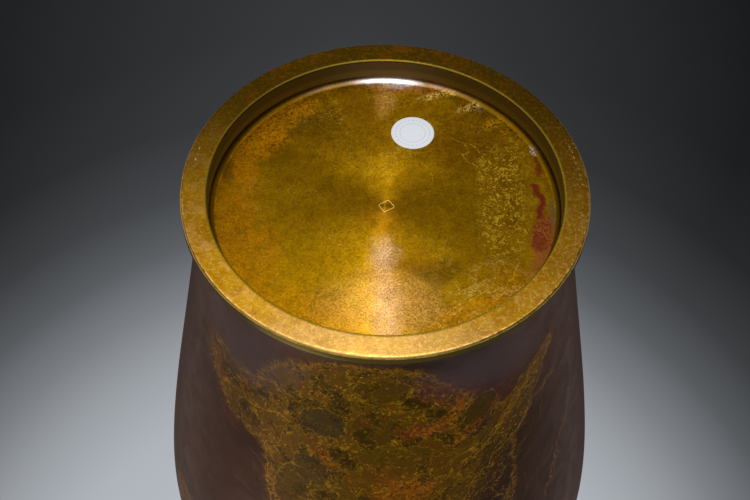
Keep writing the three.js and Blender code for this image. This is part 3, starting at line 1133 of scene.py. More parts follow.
# %% The flat underside of the ring
def ring_underside(made, torn_place, mottle, far_shade):
    drift = made.between(made.noise(made.place, 24.0), 0.35, 0.65)
    colour = made.mix(drift, (*RING_BROWN, 1.0), (*RING_GOLD, 1.0))
    colour = made.cover(colour, mottle, COPPER_PINK, 0.42)
    stain = made.between(made.noise(torn_place, 5.0, detail=5.0, roughness=0.7), 0.5, 0.62)
    colour = made.cover(colour, stain, RING_STAIN, 0.6)
    # A paler gold sheen painted on the near side, as painted highlight.
    near_sheen = made.cloud_at(made.ragged(20.0, 6.0, 3.0, 2.0), (4, -88), (58, 20), 0, 0.5)
    colour = made.cover(colour, near_sheen, NEAR_SHEEN_GOLD, 0.4)
    right_side = made.between(made.split(made.place)["X"], 0.0, -FOOT_RADIUS)
    colour = made.cover(colour, right_side, RIGHT_BROWN, 0.55)
    # The far side is painted darker, as painted shade.
    colour = made.cover(colour, far_shade, FAR_SHADE_BROWN, 0.95)
    dark_mottle = made.between(made.noise(torn_place, 13.0, detail=4.0, roughness=0.7), 0.5, 0.62)
    colour = made.cover(colour, made.times(dark_mottle, far_shade), FAR_MOTTLE, 0.6)

    fleck = made.between(made.noise(made.place, 2.0, detail=5.0, roughness=0.8), 0.5, 0.6)
    # Flecks are painted dark on the far side and pale on the near side, as painted shade and highlight.
    colour = made.cover(colour, made.times(fleck, far_shade), FAR_SHADE_FLECK, 0.45)
    colour = made.cover(colour, made.times(fleck, made.rest_of(far_shade)), PALE_GOLD, 0.25)
    scratched = made.between(fleck, 0.2, 0.7)
    for ends in RING_SCRATCHES:
        scratch = made.drawn(torn_place, ends, 0.55)
        colour = made.cover(colour, made.times(scratch, scratched), SCRATCH_COPPER, 0.7)
    return colour


print("underside: from", RING_BROWN, "to", RING_GOLD)


# %% The ring's inner edge, and the dull wall of the recess
def ring_inside(made, colour, far_shade):
    """Gives the colour, the mask of the dull wall, and the mask of all that lies so far in."""
    inner_edge = made.between(made.radius, RECESS_RADIUS + 0.6, RECESS_RADIUS + 1.5, 1.0, 0.0)
    # The inner edge is painted bright at the front and dark at the back, as painted highlight and shade.
    edge_colour = made.mix(far_shade, (*NEAR_LIT_INNER_EDGE, 1.0), (*FAR_SHADED_INNER_EDGE, 1.0))
    colour = made.mix(made.math("MULTIPLY", inner_edge, 0.85), colour, edge_colour)
    # A lighter painted sheen in the middle of the far wall.
    far_wall_sheen = made.cloud_at(made.place, (0, 80), (22, 60), 0, 0.8)
    wall_colour = made.mix(far_wall_sheen, (*WALL_BROWN, 1.0), (*FAR_WALL_SHEEN, 1.0))
    # Painted light: the wall is painted darker towards the ring's edge and lighter towards the solder.
    wall_colour = made.grained(wall_colour, made.between(made.height, 2.0, 10.0), 0.8, 1.2)
    inside = made.between(made.radius, RECESS_RADIUS + 2.0, RECESS_RADIUS + 2.2, 1.0, 0.0)
    dull = made.times(made.between(made.height, FOOT_INNER_ROUND * 0.5, FOOT_INNER_ROUND * 1.2), inside)
    return made.mix(made.math("MULTIPLY", dull, 0.95), colour, wall_colour), dull, inside


print("the wall of the recess is at radius", round(RECESS_RADIUS, 1))


# %% The ring's dark band, and its worn bevel
def ring_outside(made, colour, far_shade, inside):
    outside = made.between(made.radius, FOOT_RADIUS - 0.6, FOOT_RADIUS - 0.2)
    # The band round the outside is painted dark brown, as painted shade.
    band = made.between(made.height, FOOT_EDGE_BEVEL * 1.1, FOOT_EDGE_BEVEL * 2.0)
    colour = made.cover(colour, made.times(band, outside), BAND_BROWN, 0.95)
    above_band = made.between(made.height, FOOT_BAND_HEIGHT, FOOT_BAND_HEIGHT + 0.3)
    colour = made.cover(colour, made.times(above_band, made.rest_of(inside)), SLOPE_BROWN, 0.95)
    edge = {"Place": made.place, "Edge Radius": FOOT_RADIUS - 0.4, "Edge Height": 0.4, "Reach": 0.9}
    # The worn bevel is real wear, painted fainter on the far side as painted shade.
    bare = made.times(made.use(edge_wear, edge)["Mask"], made.rest_of(made.math("MULTIPLY", far_shade, 0.9)))
    return made.cover(colour, bare, BARE_EDGE, 0.6)


print("the band is", FOOT_BAND_HEIGHT, "mm high")

# %% The foot ring's finish
# The painted shade of the far side rises along Y between these, in mm.
FAR_SHADE_START, FAR_SHADE_END = -60.0, 60.0


def ring_finish():
    made = Finish("rubbed_bronze_patina", anisotropy=0.3)
    torn_place = made.ragged(9.0, 4.0, 1.4, 1.4)
    grain = made.noise(made.place, 0.8, detail=3.0, roughness=0.7)
    mottle = made.between(made.noise(torn_place, 9.0, detail=5.0, roughness=0.72), 0.46, 0.6)
    # A mask for the painted shade of the far side.
    far_shade = made.between(made.split(made.place)["Y"], FAR_SHADE_START, FAR_SHADE_END)
    colour = made.grained(ring_underside(made, torn_place, mottle, far_shade), grain, 0.86, 1.1)
    colour, dull, inside = ring_inside(made, colour, far_shade)
    colour = ring_outside(made, colour, far_shade, inside)
    made.feed(made.shader.inputs["Metallic"], made.rest_of(made.math("MULTIPLY", dull, 0.25)))
    made.relief((made.noise(made.place, 18.0, detail=2.0), 0.05), (grain, 0.006), (mottle, 0.01))
    gloss = made.between(grain, 0.3, 0.7, 0.27, 0.33)
    return made.finish(colour, made.math("ADD", gloss, made.math("MULTIPLY", dull, 0.5)))


ring_bronze = ring_finish()
print("ring finish:", len(ring_bronze.node_tree.nodes), "nodes")

# %% [markdown]
# ## Solder and paper
#
# The plate's patina runs on over the solder and fades into the brown of the recess wall. At the sides its
# face is painted wall brown, as painted shade in the corner. At the far end wax has pooled in the corner,
# so only there the solder has a clear coat, and there a white painted highlight lies over lilac patches
# that are partly patina and partly painted sheen.
# The label is plain white paper with one thin printed ring and a circle of short dashes. Paper is never
# quite even, so it gets a faint fibre and slightly yellowed edges.


# %% The solder's finish
SIDE_START, SIDE_END = 18.0, 48.0
solder_face = RECESS_RADIUS - (PLATE_UNDERSIDE - solder_low.z)


def solder_finish():
    made = Finish("solder_patina", coat_roughness=0.28, anisotropy=0.75)
    colour, grain, _ = plate_patina(made)
    torn_place = made.ragged(9.0, 4.0, 1.4, 1.2)
    patches = made.between(made.noise(torn_place, 14.0, detail=4.0, roughness=0.65), 0.45, 0.6)
    hollow = made.between(made.height, PLATE_UNDERSIDE - 0.05, PLATE_UNDERSIDE - 0.5)
    far_end = made.cloud_at(made.place, (0, 82), (36, 24), 0, 0.6)
    # Lilac patches at the far end, partly patina and partly painted sheen.
    colour = made.cover(colour, made.times(patches, hollow, far_end), LILAC_PATINA_AND_SHEEN, 0.6)
    # A white painted highlight in the far corner.
    painted_highlight = made.cloud_at(made.place, (-1, 80), (11, 16), 0, 0.7)
    colour = made.cover(colour, made.times(painted_highlight, hollow), WHITE, 0.9)

    # At the sides the solder's face is painted wall brown, as painted shade in the corner.
    off_middle = made.math("ABSOLUTE", made.split(made.place)["X"])
    on_face = made.between(made.radius, solder_face, solder_face + 0.9)
    painted_side_shade = made.times(made.between(off_middle, SIDE_START, SIDE_END), on_face)
    colour = made.cover(colour, painted_side_shade, WALL_BROWN, 0.9)
    up_the_wall = made.between(made.height, PLATE_UNDERSIDE - 1.0, PLATE_UNDERSIDE - 2.2)
    colour = made.cover(colour, up_the_wall, WALL_BROWN, 0.9)
    made.relief((made.noise(made.place, 7.0, detail=3.0), 0.06), (grain, 0.006))
    made.feed(made.shader.inputs["Coat Weight"], made.times(hollow, far_end))
    return made.finish(colour, made.between(grain, 0.3, 0.7, 0.27, 0.38))


solder_bronze = solder_finish()
print("solder finish:", len(solder_bronze.node_tree.nodes), "nodes")

# %% The label's finish
LABEL_RING, LABEL_DASHES, DASH_COUNT = 5.9, 7.9, 26
YELLOWED_WIDTH = 1.4
PAPER = (0.74, 0.76, 0.8)
YELLOWED = (0.72, 0.7, 0.62)
INK = (0.2, 0.24, 0.33)
label_radius = (label_high.x - label_low.x) / 2
label_centre = ((label_high.x + label_low.x) / 2, (label_high.y + label_low.y) / 2)


def label_finish():
    made = Finish("label_paper", metallic=0.0)
    here = made.flattened(made.vector("SUBTRACT", made.place, (*label_centre, 0.0)))
    parts, radius = made.split(here), made.vector("LENGTH", here)
    fibre = made.noise(made.place, 0.5, detail=5.0, roughness=0.7)
    near_edge = made.between(radius, label_radius - YELLOWED_WIDTH, label_radius)
    colour = made.cover((*PAPER, 1.0), near_edge, YELLOWED, 0.5)

    off_ring = made.math("ABSOLUTE", made.math("SUBTRACT", radius, LABEL_RING))
    ring_line = made.between(off_ring, 0.05, 0.13, 1.0, 0.0)
    turn = made.math("MULTIPLY", made.math("ARCTAN2", parts["Y"], parts["X"]), DASH_COUNT / math.tau)
    off_dash = made.math("ABSOLUTE", made.math("SUBTRACT", made.math("FRACT", turn), 0.5))
    off_line = made.math("ABSOLUTE", made.math("SUBTRACT", radius, LABEL_DASHES))
    dash_line = made.between(off_line, 0.08, 0.2, 1.0, 0.0)
    dashes = made.times(made.between(off_dash, 0.24, 0.3, 1.0, 0.0), dash_line)
    printed = made.math("MAXIMUM", ring_line, dashes)
    colour = made.cover(colour, printed, INK, 0.55)
    colour = made.grained(colour, fibre, 0.97, 1.02)
    made.relief((fibre, 0.01))
    return made.finish(colour, made.between(fibre, 0.3, 0.7, 0.6, 0.75))


label_paper = label_finish()
print("label finish:", len(label_paper.node_tree.nodes), "nodes")

# %% [markdown]
# ## The cloudy patina of the body
#
# The body is dark brown all round, and olive and gold clouds were run over it in several places. A cloud on
# a round body is easier to place on the unrolled surface: along it goes the angle, up it the height. The
# front clouds use a sheet that is cut open at the back, and the back clouds one that is cut open at the
# front, so no cut ever shows. All the noises are taken in space instead, where a round body has no cut at
# all. The high clouds and those at the back are the most ragged ones. Clearings in the clouds show the dark
# ground, and small islands in them have golden shores.

# %% Unroll the body
UNROLL_RADIUS = 100.0


def unrolled(made, place, back=False):
    """Angle times radius, and height: 0 is the middle of the front, or of the back."""
    parts, sign = made.split(place), -1.0 if back else 1.0
    across = made.math("MULTIPLY", parts["X"], sign)
    outwards = made.math("MULTIPLY", parts["Y"], -sign)
    around = made.math("MULTIPLY", made.math("ARCTAN2", across, outwards), UNROLL_RADIUS)
    return made.add("ShaderNodeCombineXYZ", {"X": around, "Y": parts["Z"]}).outputs[0]


def on_body(angle, height):
    return (math.radians(angle) * UNROLL_RADIUS, height)


print("10 degrees are", round(on_body(10, 0)[0], 1), "mm on the sheet")

# %% Colours of the body
BODY_BROWN = (0.056, 0.023, 0.011)
BODY_DARK = (0.026, 0.011, 0.006)
BODY_OLIVE = (0.12, 0.056, 0.0008)
BODY_GREEN = (0.058, 0.032, 0.0006)
BODY_BLACK = (0.026, 0.013, 0.0006)
BODY_ORANGE = (0.36, 0.1, 0.004)
BODY_RED = (0.16, 0.026, 0.007)
BODY_PURPLE = (0.06, 0.018, 0.016)
BODY_GOLD = (0.66, 0.32, 0.008)
BODY_RUST = (0.15, 0.047, 0.002)
BODY_SLATE = (0.036, 0.028, 0.008)
STREAM_OLIVE = (0.09, 0.05, 0.0008)
# Painted sheen: a pale lilac grey over the body near the foot.
PAINTED_SHEEN = (0.11, 0.085, 0.088)
print("the body's olive is", BODY_OLIVE)

# %% Where the clouds run on the body
FRONT_RUNS = (
    (on_body(-2, 98), (62, 74), 0, 0.16),
    (on_body(6, 52), (56, 38), 0, 0.2),
    (on_body(-40, 66), (34, 11), 35, 0.3),
    (on_body(40, 66), (34, 18), -20, 0.5),
)
UPPER_RUNS = (
    (on_body(62, 230), (52, 26), 15, 0.3),
    (on_body(-66, 246), (58, 24), -12, 0.3),
    (on_body(-6, 206), (44, 30), -20, 0.35),
)
BACK_RUNS = (
    (on_body(-62, 182), (58, 48), 10, 0.3),
    (on_body(38, 122), (66, 44), -14, 0.3),
    (on_body(-12, 62), (46, 34), 0, 0.35),
    (on_body(10, 250), (60, 26), 6, 0.35),
)
print(len(FRONT_RUNS), "runs in front,", len(UPPER_RUNS), "high up and", len(BACK_RUNS), "at the back")

# %% Clearings, islands and blotches in the clouds
BODY_CLEARINGS = (
    (on_body(-64, 134), (74, 56), 0, 0.2, 0.95, BODY_DARK),
    (on_body(66, 126), (58, 50), 0, 0.3, 0.9, BODY_BROWN),
)
BODY_ISLANDS = (
    (on_body(16.5, 57), (11, 10), 0, 0.15, 0.7, BODY_SLATE),
    (on_body(19, 90), (8, 10), 25, 0.2, 0.55, BODY_SLATE),
    (on_body(24, 106), (9, 17), -10, 0.15, 0.55, BODY_GREEN),
    (on_body(2, 56), (11, 12), 0, 0.12, 0.5, BODY_GREEN),
    (on_body(0, 32), (14, 7), 0, 0.12, 0.5, BODY_GREEN),
    (on_body(-29, 53), (11, 6), 38, 0.14, 0.8, BODY_GREEN),
    (on_body(-3, 75), (20, 7), 0, 0.12, 0.5, STREAM_OLIVE),
    (on_body(50, 52), (10, 6), -20, 0.2, 0.5, BODY_GREEN),
)
BODY_BLOTCHES = (
    (on_body(-18, 32), (19, 9), -8, 0.3, 0.7, BODY_PURPLE, "mottled"),
    (on_body(-18, 35), (18, 8), -10, 0.4, 0.7, BODY_RED, "flecked"),
    (on_body(-25, 44), (12, 4), 30, 0.4, 0.75, BODY_RED, "flecked"),
    (on_body(-20, 51), (14, 4), 40, 0.4, 0.85, BODY_ORANGE, "flecked"),
    (on_body(-11, 59), (15, 4.6), 0, 0.4, 0.85, BODY_RED, "mottled"),
    (on_body(-13, 60), (9, 3), 0, 0.4, 0.7, BODY_ORANGE, "flecked"),
    (on_body(-25, 65), (13, 3.6), 42, 0.4, 0.85, BODY_ORANGE, "flecked"),
    (on_body(-38, 48), (16, 4), 36, 0.5, 0.7, BODY_RED, "flecked"),
    (on_body(-32, 56), (6, 18), -42, 0.4, 0.35, BODY_PURPLE, None),
    (on_body(-44, 98), (16, 30), 0, 0.5, 0.6, BODY_BLACK, None),
    (on_body(-2, 86), (9, 9), 0, 0.5, 0.75, BODY_RUST, "mottled"),
    (on_body(-7, 100), (14, 11), 10, 0.5, 0.75, BODY_ORANGE, "mottled"),
    (on_body(-8, 120), (16, 14), 0, 0.5, 0.6, BODY_RUST, "mottled"),
    (on_body(5, 52), (4, 4), 0, 0.4, 0.8, BODY_RED, "flecked"),
    (on_body(19, 73), (7, 2.4), -22, 0.4, 0.85, BODY_RED, "flecked"),
    (on_body(15, 79), (3, 6), 20, 0.4, 0.85, BODY_ORANGE, "flecked"),
    (on_body(42, 56), (2.6, 1.4), -35, 0.5, 0.6, BODY_ORANGE, None),
    (on_body(48, 86), (4, 3), 0, 0.7, 0.4, BODY_RED, None),
)
print(len(BODY_ISLANDS), "islands and", len(BODY_BLOTCHES), "blotches on the body")

# %% Lines and patches of painted sheen on the body, drawn by angle and height
BODY_SHEEN_PATCHES = ((on_body(45, 34), (24, 16)), (on_body(-33, 26), (30, 15)))
BODY_LINES = (
    ((-59, 71), (-51, 73), (-42, 77), (-34, 82), (-29, 91), (-25, 104), (-22, 118)),
    ((-55, 51), (-47, 54), (-41, 59), (-36, 68), (-30, 73), (-24, 83), (-20, 95)),
    ((-38, 60), (-33, 68), (-26, 74), (-21, 81), (-17, 90)),
    ((58, 50), (47, 58), (41, 68), (34, 67), (29, 62), (25, 65), (29, 76), (33, 92)),
    ((33, 92), (34, 108), (32.5, 128), (34, 150)),
    ((46, 47), (38, 44), (32, 42), (27, 46)),
    ((-71, 70), (-66, 94), (-60, 121), (-54, 140), (-48, 158)),
)
LINE_WIDTH = 0.8
LINES_BESIDE = (((0.0, 0.0, 0.0), 0.32), ((3.4, 2.04, 0.0), 0.16))
print(len(BODY_LINES), "lines, each with a fainter one beside it")

# %% [markdown]
# ## Streams in the patina
#
# On the front the patina ran in two slanting streams, that meet further up. So the noise that draws their
# lines is stretched along the slope, and mirrored at the middle. A plain mirror would leave a crease there,
# so the distance from the middle is rounded off with a root.

# %% Coordinates that follow the streams
STREAM_MIDDLE, STREAM_ROUNDING, STREAM_SLOPE, STREAM_STRETCH = -9.0, 18.0, 40.0, 3.4


def along_streams(made, sheet):
    parts = made.split(sheet)
    off_middle = made.math("SUBTRACT", parts["X"], STREAM_MIDDLE)
    square = made.math("ADD", made.math("MULTIPLY", off_middle, off_middle), STREAM_ROUNDING**2)
    mirrored = made.add("ShaderNodeCombineXYZ", {"X": made.math("SQRT", square), "Y": parts["Y"]})
    turn = {"Vector": mirrored.outputs[0], "Angle": math.radians(STREAM_SLOPE)}
    turned = made.add("ShaderNodeVectorRotate", turn, rotation_type="Z_AXIS").outputs[0]
    return made.vector("MULTIPLY", turned, (1 / STREAM_STRETCH, 1.0, 1.0))


print("streams are stretched", STREAM_STRETCH, "times along their slope")

# %% [markdown]
# ## The layers of the body's patina
#
# The layers go on from the ground up: the dark brown, the olive runs over it, clearings and blotches in
# them, bare gold along their edges, small islands and drawn lines, and last a painted sheen and the worn
# lip. Each layer is a short function that takes the colour so far and gives it back with its own part laid
# over. One long recipe would come out the same, but this way a layer can be changed or left out by itself.


# %% Places and textures that the body's layers share
BODY_GRAZING = (0.95, 0.78, 0.74)
WISP_DARK, WISP_LIGHT = 0.78, 1.2


class BodyFinish(Finish):
    """The body's material. Its wisps are drawn out upwards."""

    def __init__(self):
        super().__init__("cloudy_bronze_patina", grazing=BODY_GRAZING)
        self.soft_place = self.ragged(42.0, 15.0, 8.0, 5.0)
        self.torn_place = self.ragged(13.0, 5.0, 2.4, 2.0)
        self.grain = self.noise(self.place, 1.0, detail=3.0, roughness=0.7)
        self.peel = self.noise(self.torn_place, 2.2, detail=5.0, roughness=0.72)
        self.fleck = self.between(self.noise(self.torn_place, 1.8, detail=4.0, roughness=0.78), 0.46, 0.54)
        upright = self.vector("MULTIPLY", self.soft_place, (1.0, 1.0, 0.35))
        self.wisps = self.noise(upright, 16.0, detail=5.0, roughness=0.62)
        self.front = unrolled(self, self.soft_place)
        self.torn_front = unrolled(self, self.torn_place)


print("the body's tint at a grazing angle is", BODY_GRAZING)


# %% The dark ground of the body, and the mask of its runs
def dark_ground(made):
    drift = made.between(made.noise(made.soft_place, 75.0), 0.35, 0.65)
    colour = made.mix(drift, (*BODY_DARK, 1.0), (*BODY_BROWN, 1.0))
    return made.grained(colour, made.wisps, WISP_DARK, WISP_LIGHT)


def mask_of_runs(made):
    drifted_place = made.ragged(70.0, 38.0, 15.0, 11.0)
    upper_front, back = unrolled(made, drifted_place), unrolled(made, drifted_place, back=True)
    runs = 0.0
    for sheet, clouds in ((made.front, FRONT_RUNS), (upper_front, UPPER_RUNS), (back, BACK_RUNS)):
        for run in clouds:
            runs = made.math("MAXIMUM", runs, made.cloud_at(sheet, *run))
    return runs


print("ground: from", BODY_DARK, "to", BODY_BROWN)

# %% The olive layers inside the runs
GREEN_FROM, GREEN_FULL = 140.0, 190.0


def heights_of_layers(made):
    """A height for every point, as on a map: drawn out along the streams there, and even elsewhere."""
    streamed = made.noise(along_streams(made, made.torn_front), 9.0, detail=5.0, roughness=0.6)
    stream_patch = made.cloud_at(made.front, on_body(-40, 78), (36, 44), 0, 0.3)
    still = made.noise(made.torn_place, 11.0, detail=6.0, roughness=0.62)
    elsewhere = made.times(still, made.rest_of(stream_patch))
    return made.math("ADD", made.times(streamed, stream_patch), elsewhere)


def olive_patina(made, layers):
    olive = made.mix(made.between(layers, 0.475, 0.5), (*BODY_GREEN, 1.0), (*BODY_OLIVE, 1.0))
    olive = made.cover(olive, made.between(layers, 0.43, 0.41), BODY_BLACK, 0.5)
    rust = made.between(made.noise(made.torn_place, 21.0, detail=6.0, roughness=0.66), 0.56, 0.59)
    olive = made.cover(olive, made.times(rust, made.fleck), BODY_RUST, 0.8)
    high_up = made.between(made.height, GREEN_FROM, GREEN_FULL)
    broad = made.between(made.noise(made.soft_place, 34.0, detail=4.0), 0.47, 0.58)
    olive = made.cover(olive, made.times(broad, high_up), BODY_GREEN, 0.65)
    return made.grained(olive, made.peel, 0.78, 1.22)


print("above", GREEN_FULL, "mm part of the olive is green")


# %% Marks and golden lines on the body
def lay_marks(made, colour):
    """Clearings down to the ground, and blotches over them."""
    for centre, half_size, turn, softness, strength, shade in BODY_CLEARINGS:
        clearing = made.cloud_at(made.torn_front, centre, half_size, turn, softness)
        bare_shade = made.grained((*shade, 1.0), made.wisps, WISP_DARK, WISP_LIGHT)
        colour = made.mix(made.math("MULTIPLY", clearing, strength), colour, bare_shade)
    textures = {"mottled": made.between(made.peel, 0.42, 0.52), "flecked": made.fleck}
    return made.lay_clouds(colour, made.torn_front, BODY_BLOTCHES, textures)


def gild(made, colour, runs, layers):
    """Bare gold on the runs' edges, between their layers, along the streams, and as lace and dots."""
    colour = made.cover(colour, made.times(made.contour(runs, 0.5, 0.3), made.fleck), BODY_GOLD, 0.3)
    rims = made.math("MAXIMUM", made.contour(layers, 0.488, 0.022), made.contour(layers, 0.42, 0.014))
    colour = made.cover(colour, made.times(rims, made.fleck, runs), BODY_GOLD, 0.4)
    streams = {"Place": along_streams(made, made.front), "Length": 13.0, "Count": 5.0, "Width": 0.16}
    stream_lines = made.use(veins, streams | {"Gaps": 0.46, "Gap Length": 4.0})["Mask"]
    front_patch = made.cloud_at(made.front, on_body(-6, 92), (92, 66), 0, 0.3)
    colour = made.cover(colour, made.times(stream_lines, front_patch), BODY_GOLD, 0.12)
    lace = {"Place": made.torn_place, "Length": 6.5, "Count": 5.0, "Width": 0.15}
    lace_lines = made.use(veins, lace | {"Gaps": 0.5, "Gap Length": 6.0})["Mask"]
    colour = made.cover(colour, made.times(lace_lines, runs), BODY_GOLD, 0.52)
    clusters = made.between(made.noise(made.torn_place, 9.0, detail=3.0), 0.5, 0.62)
    dots = made.between(made.noise(made.place, 1.5, detail=3.0, roughness=0.7), 0.58, 0.63)
    return made.cover(colour, made.times(dots, clusters, runs), BODY_GOLD, 0.56)


print("gold:", BODY_GOLD)


# %% Islands with golden shores, and drawn lines
def lay_islands(made, colour):
    for centre, half_size, turn, softness, strength, shade in BODY_ISLANDS:
        island = made.cloud_at(made.torn_front, centre, half_size, turn, softness)
        colour = made.cover(colour, island, shade, strength)
        shore = made.cloud_at(made.torn_front, centre, half_size, turn, softness, "Rim")
        colour = made.cover(colour, made.times(shore, made.fleck), BODY_GOLD, 0.35)
    return colour


def draw_lines(made, colour):
    broken = made.between(made.peel, 0.38, 0.5)
    for shift, strength in LINES_BESIDE:
        shifted = made.vector("ADD", made.front, shift)
        for line_points in BODY_LINES:
            line = made.drawn(shifted, [on_body(*point) for point in line_points], LINE_WIDTH)
            colour = made.cover(colour, made.times(line, broken), BODY_GOLD, strength)
    return colour


print("lines are", LINE_WIDTH, "mm wide")

# %% Painted sheen over the foot, and the worn lip
SHEEN_FULL, SHEEN_END, SHEEN_WAVES = 14.0, 21.0, 10.0
lip_edge = NECK_RADIUS + LIP_OVERHANG
throat_edge = lip_edge - LIP_FLAT_WIDTH - 2 * LIP_ROUND


def paint_sheen_over(made, colour, layers):
    """A painted sheen where the body meets the ring, with a wavy upper end, and two patches of it above."""
    waves = made.math("MULTIPLY", layers, SHEEN_WAVES)
    # The painted sheen fades out upwards, with a wavy end.
    sheen_band = made.between(made.math("ADD", made.height, waves), SHEEN_FULL, SHEEN_END, 1.0, 0.0)
    colour = made.cover(colour, sheen_band, PAINTED_SHEEN, 0.5)
    for centre, half_size in BODY_SHEEN_PATCHES:
        colour = made.cover(colour, made.cloud_at(made.front, centre, half_size, 0, 0.8), PAINTED_SHEEN, 0.6)
    return colour


def wear_lip(made, colour):
    rim = {"Place": made.place, "Chip Length": 6.0, "Reach": 1.3, "Edge Height": body_high.z}
    for edge_radius in (lip_edge, throat_edge):
        bare = made.use(edge_wear, rim | {"Edge Radius": edge_radius})["Mask"]
        colour = made.cover(colour, bare, BODY_GOLD, 0.7)
    return colour


print("the lip is worn at radius", lip_edge, "and", throat_edge)


# %% The body's finish
def body_finish():
    made = BodyFinish()
    runs, layers = mask_of_runs(made), heights_of_layers(made)
    colour = made.mix(runs, dark_ground(made), olive_patina(made, layers))
    colour = gild(made, lay_marks(made, colour), runs, layers)
    colour = draw_lines(made, lay_islands(made, colour))
    colour = made.grained(colour, made.grain, 0.88, 1.12)
    colour = wear_lip(made, paint_sheen_over(made, colour, layers))

    inner_side = made.add("ShaderNodeAttribute", attribute_name="inner_side").outputs["Fac"]
    streaks = made.noise(made.vector("MULTIPLY", made.place, (0.2, 0.2, 1.0)), 9.0)
    lining = made.grained((*INSIDE_BROWN, 1.0), made.between(streaks, 0.4, 0.6), 0.6, 1.5)
    colour = made.mix(inner_side, colour, lining)
    dents = made.noise(made.place, 32.0, detail=2.0)
    made.relief((dents, 0.35), (made.peel, 0.012), (made.grain, 0.006))
    satin = made.between(layers, 0.35, 0.65, 0.33, 0.42)
    return made.finish(colour, made.math("ADD", satin, made.math("MULTIPLY", inner_side, 0.3)))


body_bronze = body_finish()
print("body finish:", len(body_bronze.node_tree.nodes), "nodes")

# %% [markdown]
# ## Nicks in the ring's edge
#
# The foot's outer edge has met many tables, so it has small nicks. They are real dents, because they show
# in the outline of the bright edge. Geometry Nodes scatter a few points along the edge, and each vertex of
# the ring is pushed into the metal by how near it is to the closest point. The seed keeps the nicks where
# they are.


# %% A tree that knocks nicks into a round edge
NICK_LIFT = 0.6


def build_edge_nicks():
    inputs = (
        ("Count", "NodeSocketInt"),
        ("Seed", "NodeSocketInt"),
        ("Edge Radius", "NodeSocketFloat"),
        ("Edge Height", "NodeSocketFloat"),
        ("Nick Radius", "NodeSocketFloat"),
        ("Depth", "NodeSocketFloat"),
        ("Finish", "NodeSocketMaterial"),
    )
    wire, given = new_geometry_tree("edge_nicks", inputs)
    any_angle = {"Max": math.tau, "Seed": given["Seed"]}
    spin = wire.add("FunctionNodeRandomValue", data_type="FLOAT")
    for socket in spin.inputs:
        if socket.enabled and socket.name in any_angle:
            wire.feed(socket, any_angle[socket.name])
    angle = next(socket for socket in spin.outputs if socket.enabled)
    x = wire.math("MULTIPLY", wire.math("COSINE", angle), given["Edge Radius"])
    y = wire.math("MULTIPLY", wire.math("SINE", angle), given["Edge Radius"])
    at_edge = wire.add("ShaderNodeCombineXYZ", {"X": x, "Y": y, "Z": given["Edge Height"]}).outputs[0]
    hits = wire.add("GeometryNodePoints", {"Count": given["Count"], "Position": at_edge}).outputs[0]

    nearest = wire.add("GeometryNodeProximity", target_element="POINTS")
    wire.feed(nearest.inputs[0], hits)
    near = wire.math("DIVIDE", nearest.outputs["Distance"], given["Nick Radius"])
    falloff = wire.between(near, 0.2, 1.0, 1.0, 0.0)
    here = wire.add("GeometryNodeInputPosition").outputs[0]
    outwards = wire.vector("NORMALIZE", wire.flattened(here))
    inwards = wire.vector("NORMALIZE", wire.vector("SUBTRACT", (0.0, 0.0, NICK_LIFT), outwards))
    push = wire.scaled(inwards, wire.math("MULTIPLY", falloff, given["Depth"]))
    dented = wire.add("GeometryNodeSetPosition", {"Geometry": given["Geometry"], "Offset": push}).outputs[0]
    return end_geometry_tree(wire, dented, given["Finish"])


edge_nicks = build_edge_nicks()
print("nick tree:", len(edge_nicks.nodes), "nodes")

# %% [markdown]
# ## Turning the foot ring
#
# The ring's profile starts at the ledge that carries the plate, runs down the recess wall, round the soft
# inner edge and over the flat underside to the bevel, and up the band to the body's seat and the spigot.
# The faces that show get points every 0.8 mm, so that the nicks have something to bend; the hidden spigot
# needs few.

# %% Turn the foot ring
RING_SEGMENTS, RING_SPACING = 720, 0.8
RING_WAVER, RING_WAVER_LENGTH = 0.04, 30.0
NICK_COUNT, NICK_SEED, NICK_RADIUS, NICK_DEPTH = 26, 5, 1.5, 0.12
ledge_radius = RECESS_RADIUS - LEDGE_WIDTH
shown_line = rounded(
    [
        (RECESS_RADIUS, plate_high.z, 0),
        (RECESS_RADIUS, 0.0, FOOT_INNER_ROUND),
        (FOOT_RADIUS - FOOT_EDGE_BEVEL, 0.0, 0.25),
        (FOOT_RADIUS, FOOT_EDGE_BEVEL, 0.3),
        (FOOT_RADIUS, FOOT_BAND_HEIGHT, 0.5),
        (WAIST_RADIUS + SLEEVE_FLARE, SEAT_HEIGHT, 0),
    ]
)
hidden_line = [
    (SPIGOT_RADIUS, SEAT_HEIGHT),
    (SPIGOT_RADIUS, ring_high.z),
    (ledge_radius, ring_high.z),
    (ledge_radius, plate_high.z),
    (RECESS_RADIUS, plate_high.z),
]
ring_line = spaced(shown_line, RING_SPACING) + hidden_line
ring_inputs = {
    "Segments": RING_SEGMENTS,
    "Waver": RING_WAVER * MM,
    "Waver Length": RING_WAVER_LENGTH * MM,
    "Finish": ring_bronze,
}
nick_inputs = {
    "Count": NICK_COUNT,
    "Seed": NICK_SEED,
    "Edge Radius": (FOOT_RADIUS - FOOT_EDGE_BEVEL / 2) * MM,
    "Edge Height": FOOT_EDGE_BEVEL / 2 * MM,
    "Nick Radius": NICK_RADIUS * MM,
    "Depth": NICK_DEPTH * MM,
    "Finish": ring_bronze,
}
ring_steps = [(lathe, ring_inputs), (edge_nicks, nick_inputs)]
ring_piece = run_trees("turned_foot_ring", profile_mesh(ring_line), ring_steps)
dress(ring_piece, "foot_ring")

# %% [markdown]
# ## Turning the base plate
#
# The plate is a plain disc on the real vase too: what makes it interesting is its patina. It gets rings of
# points every 2 mm, so that its round shading stays even from the middle to the solder. It is turned true,
# so its radius doesn't waver.

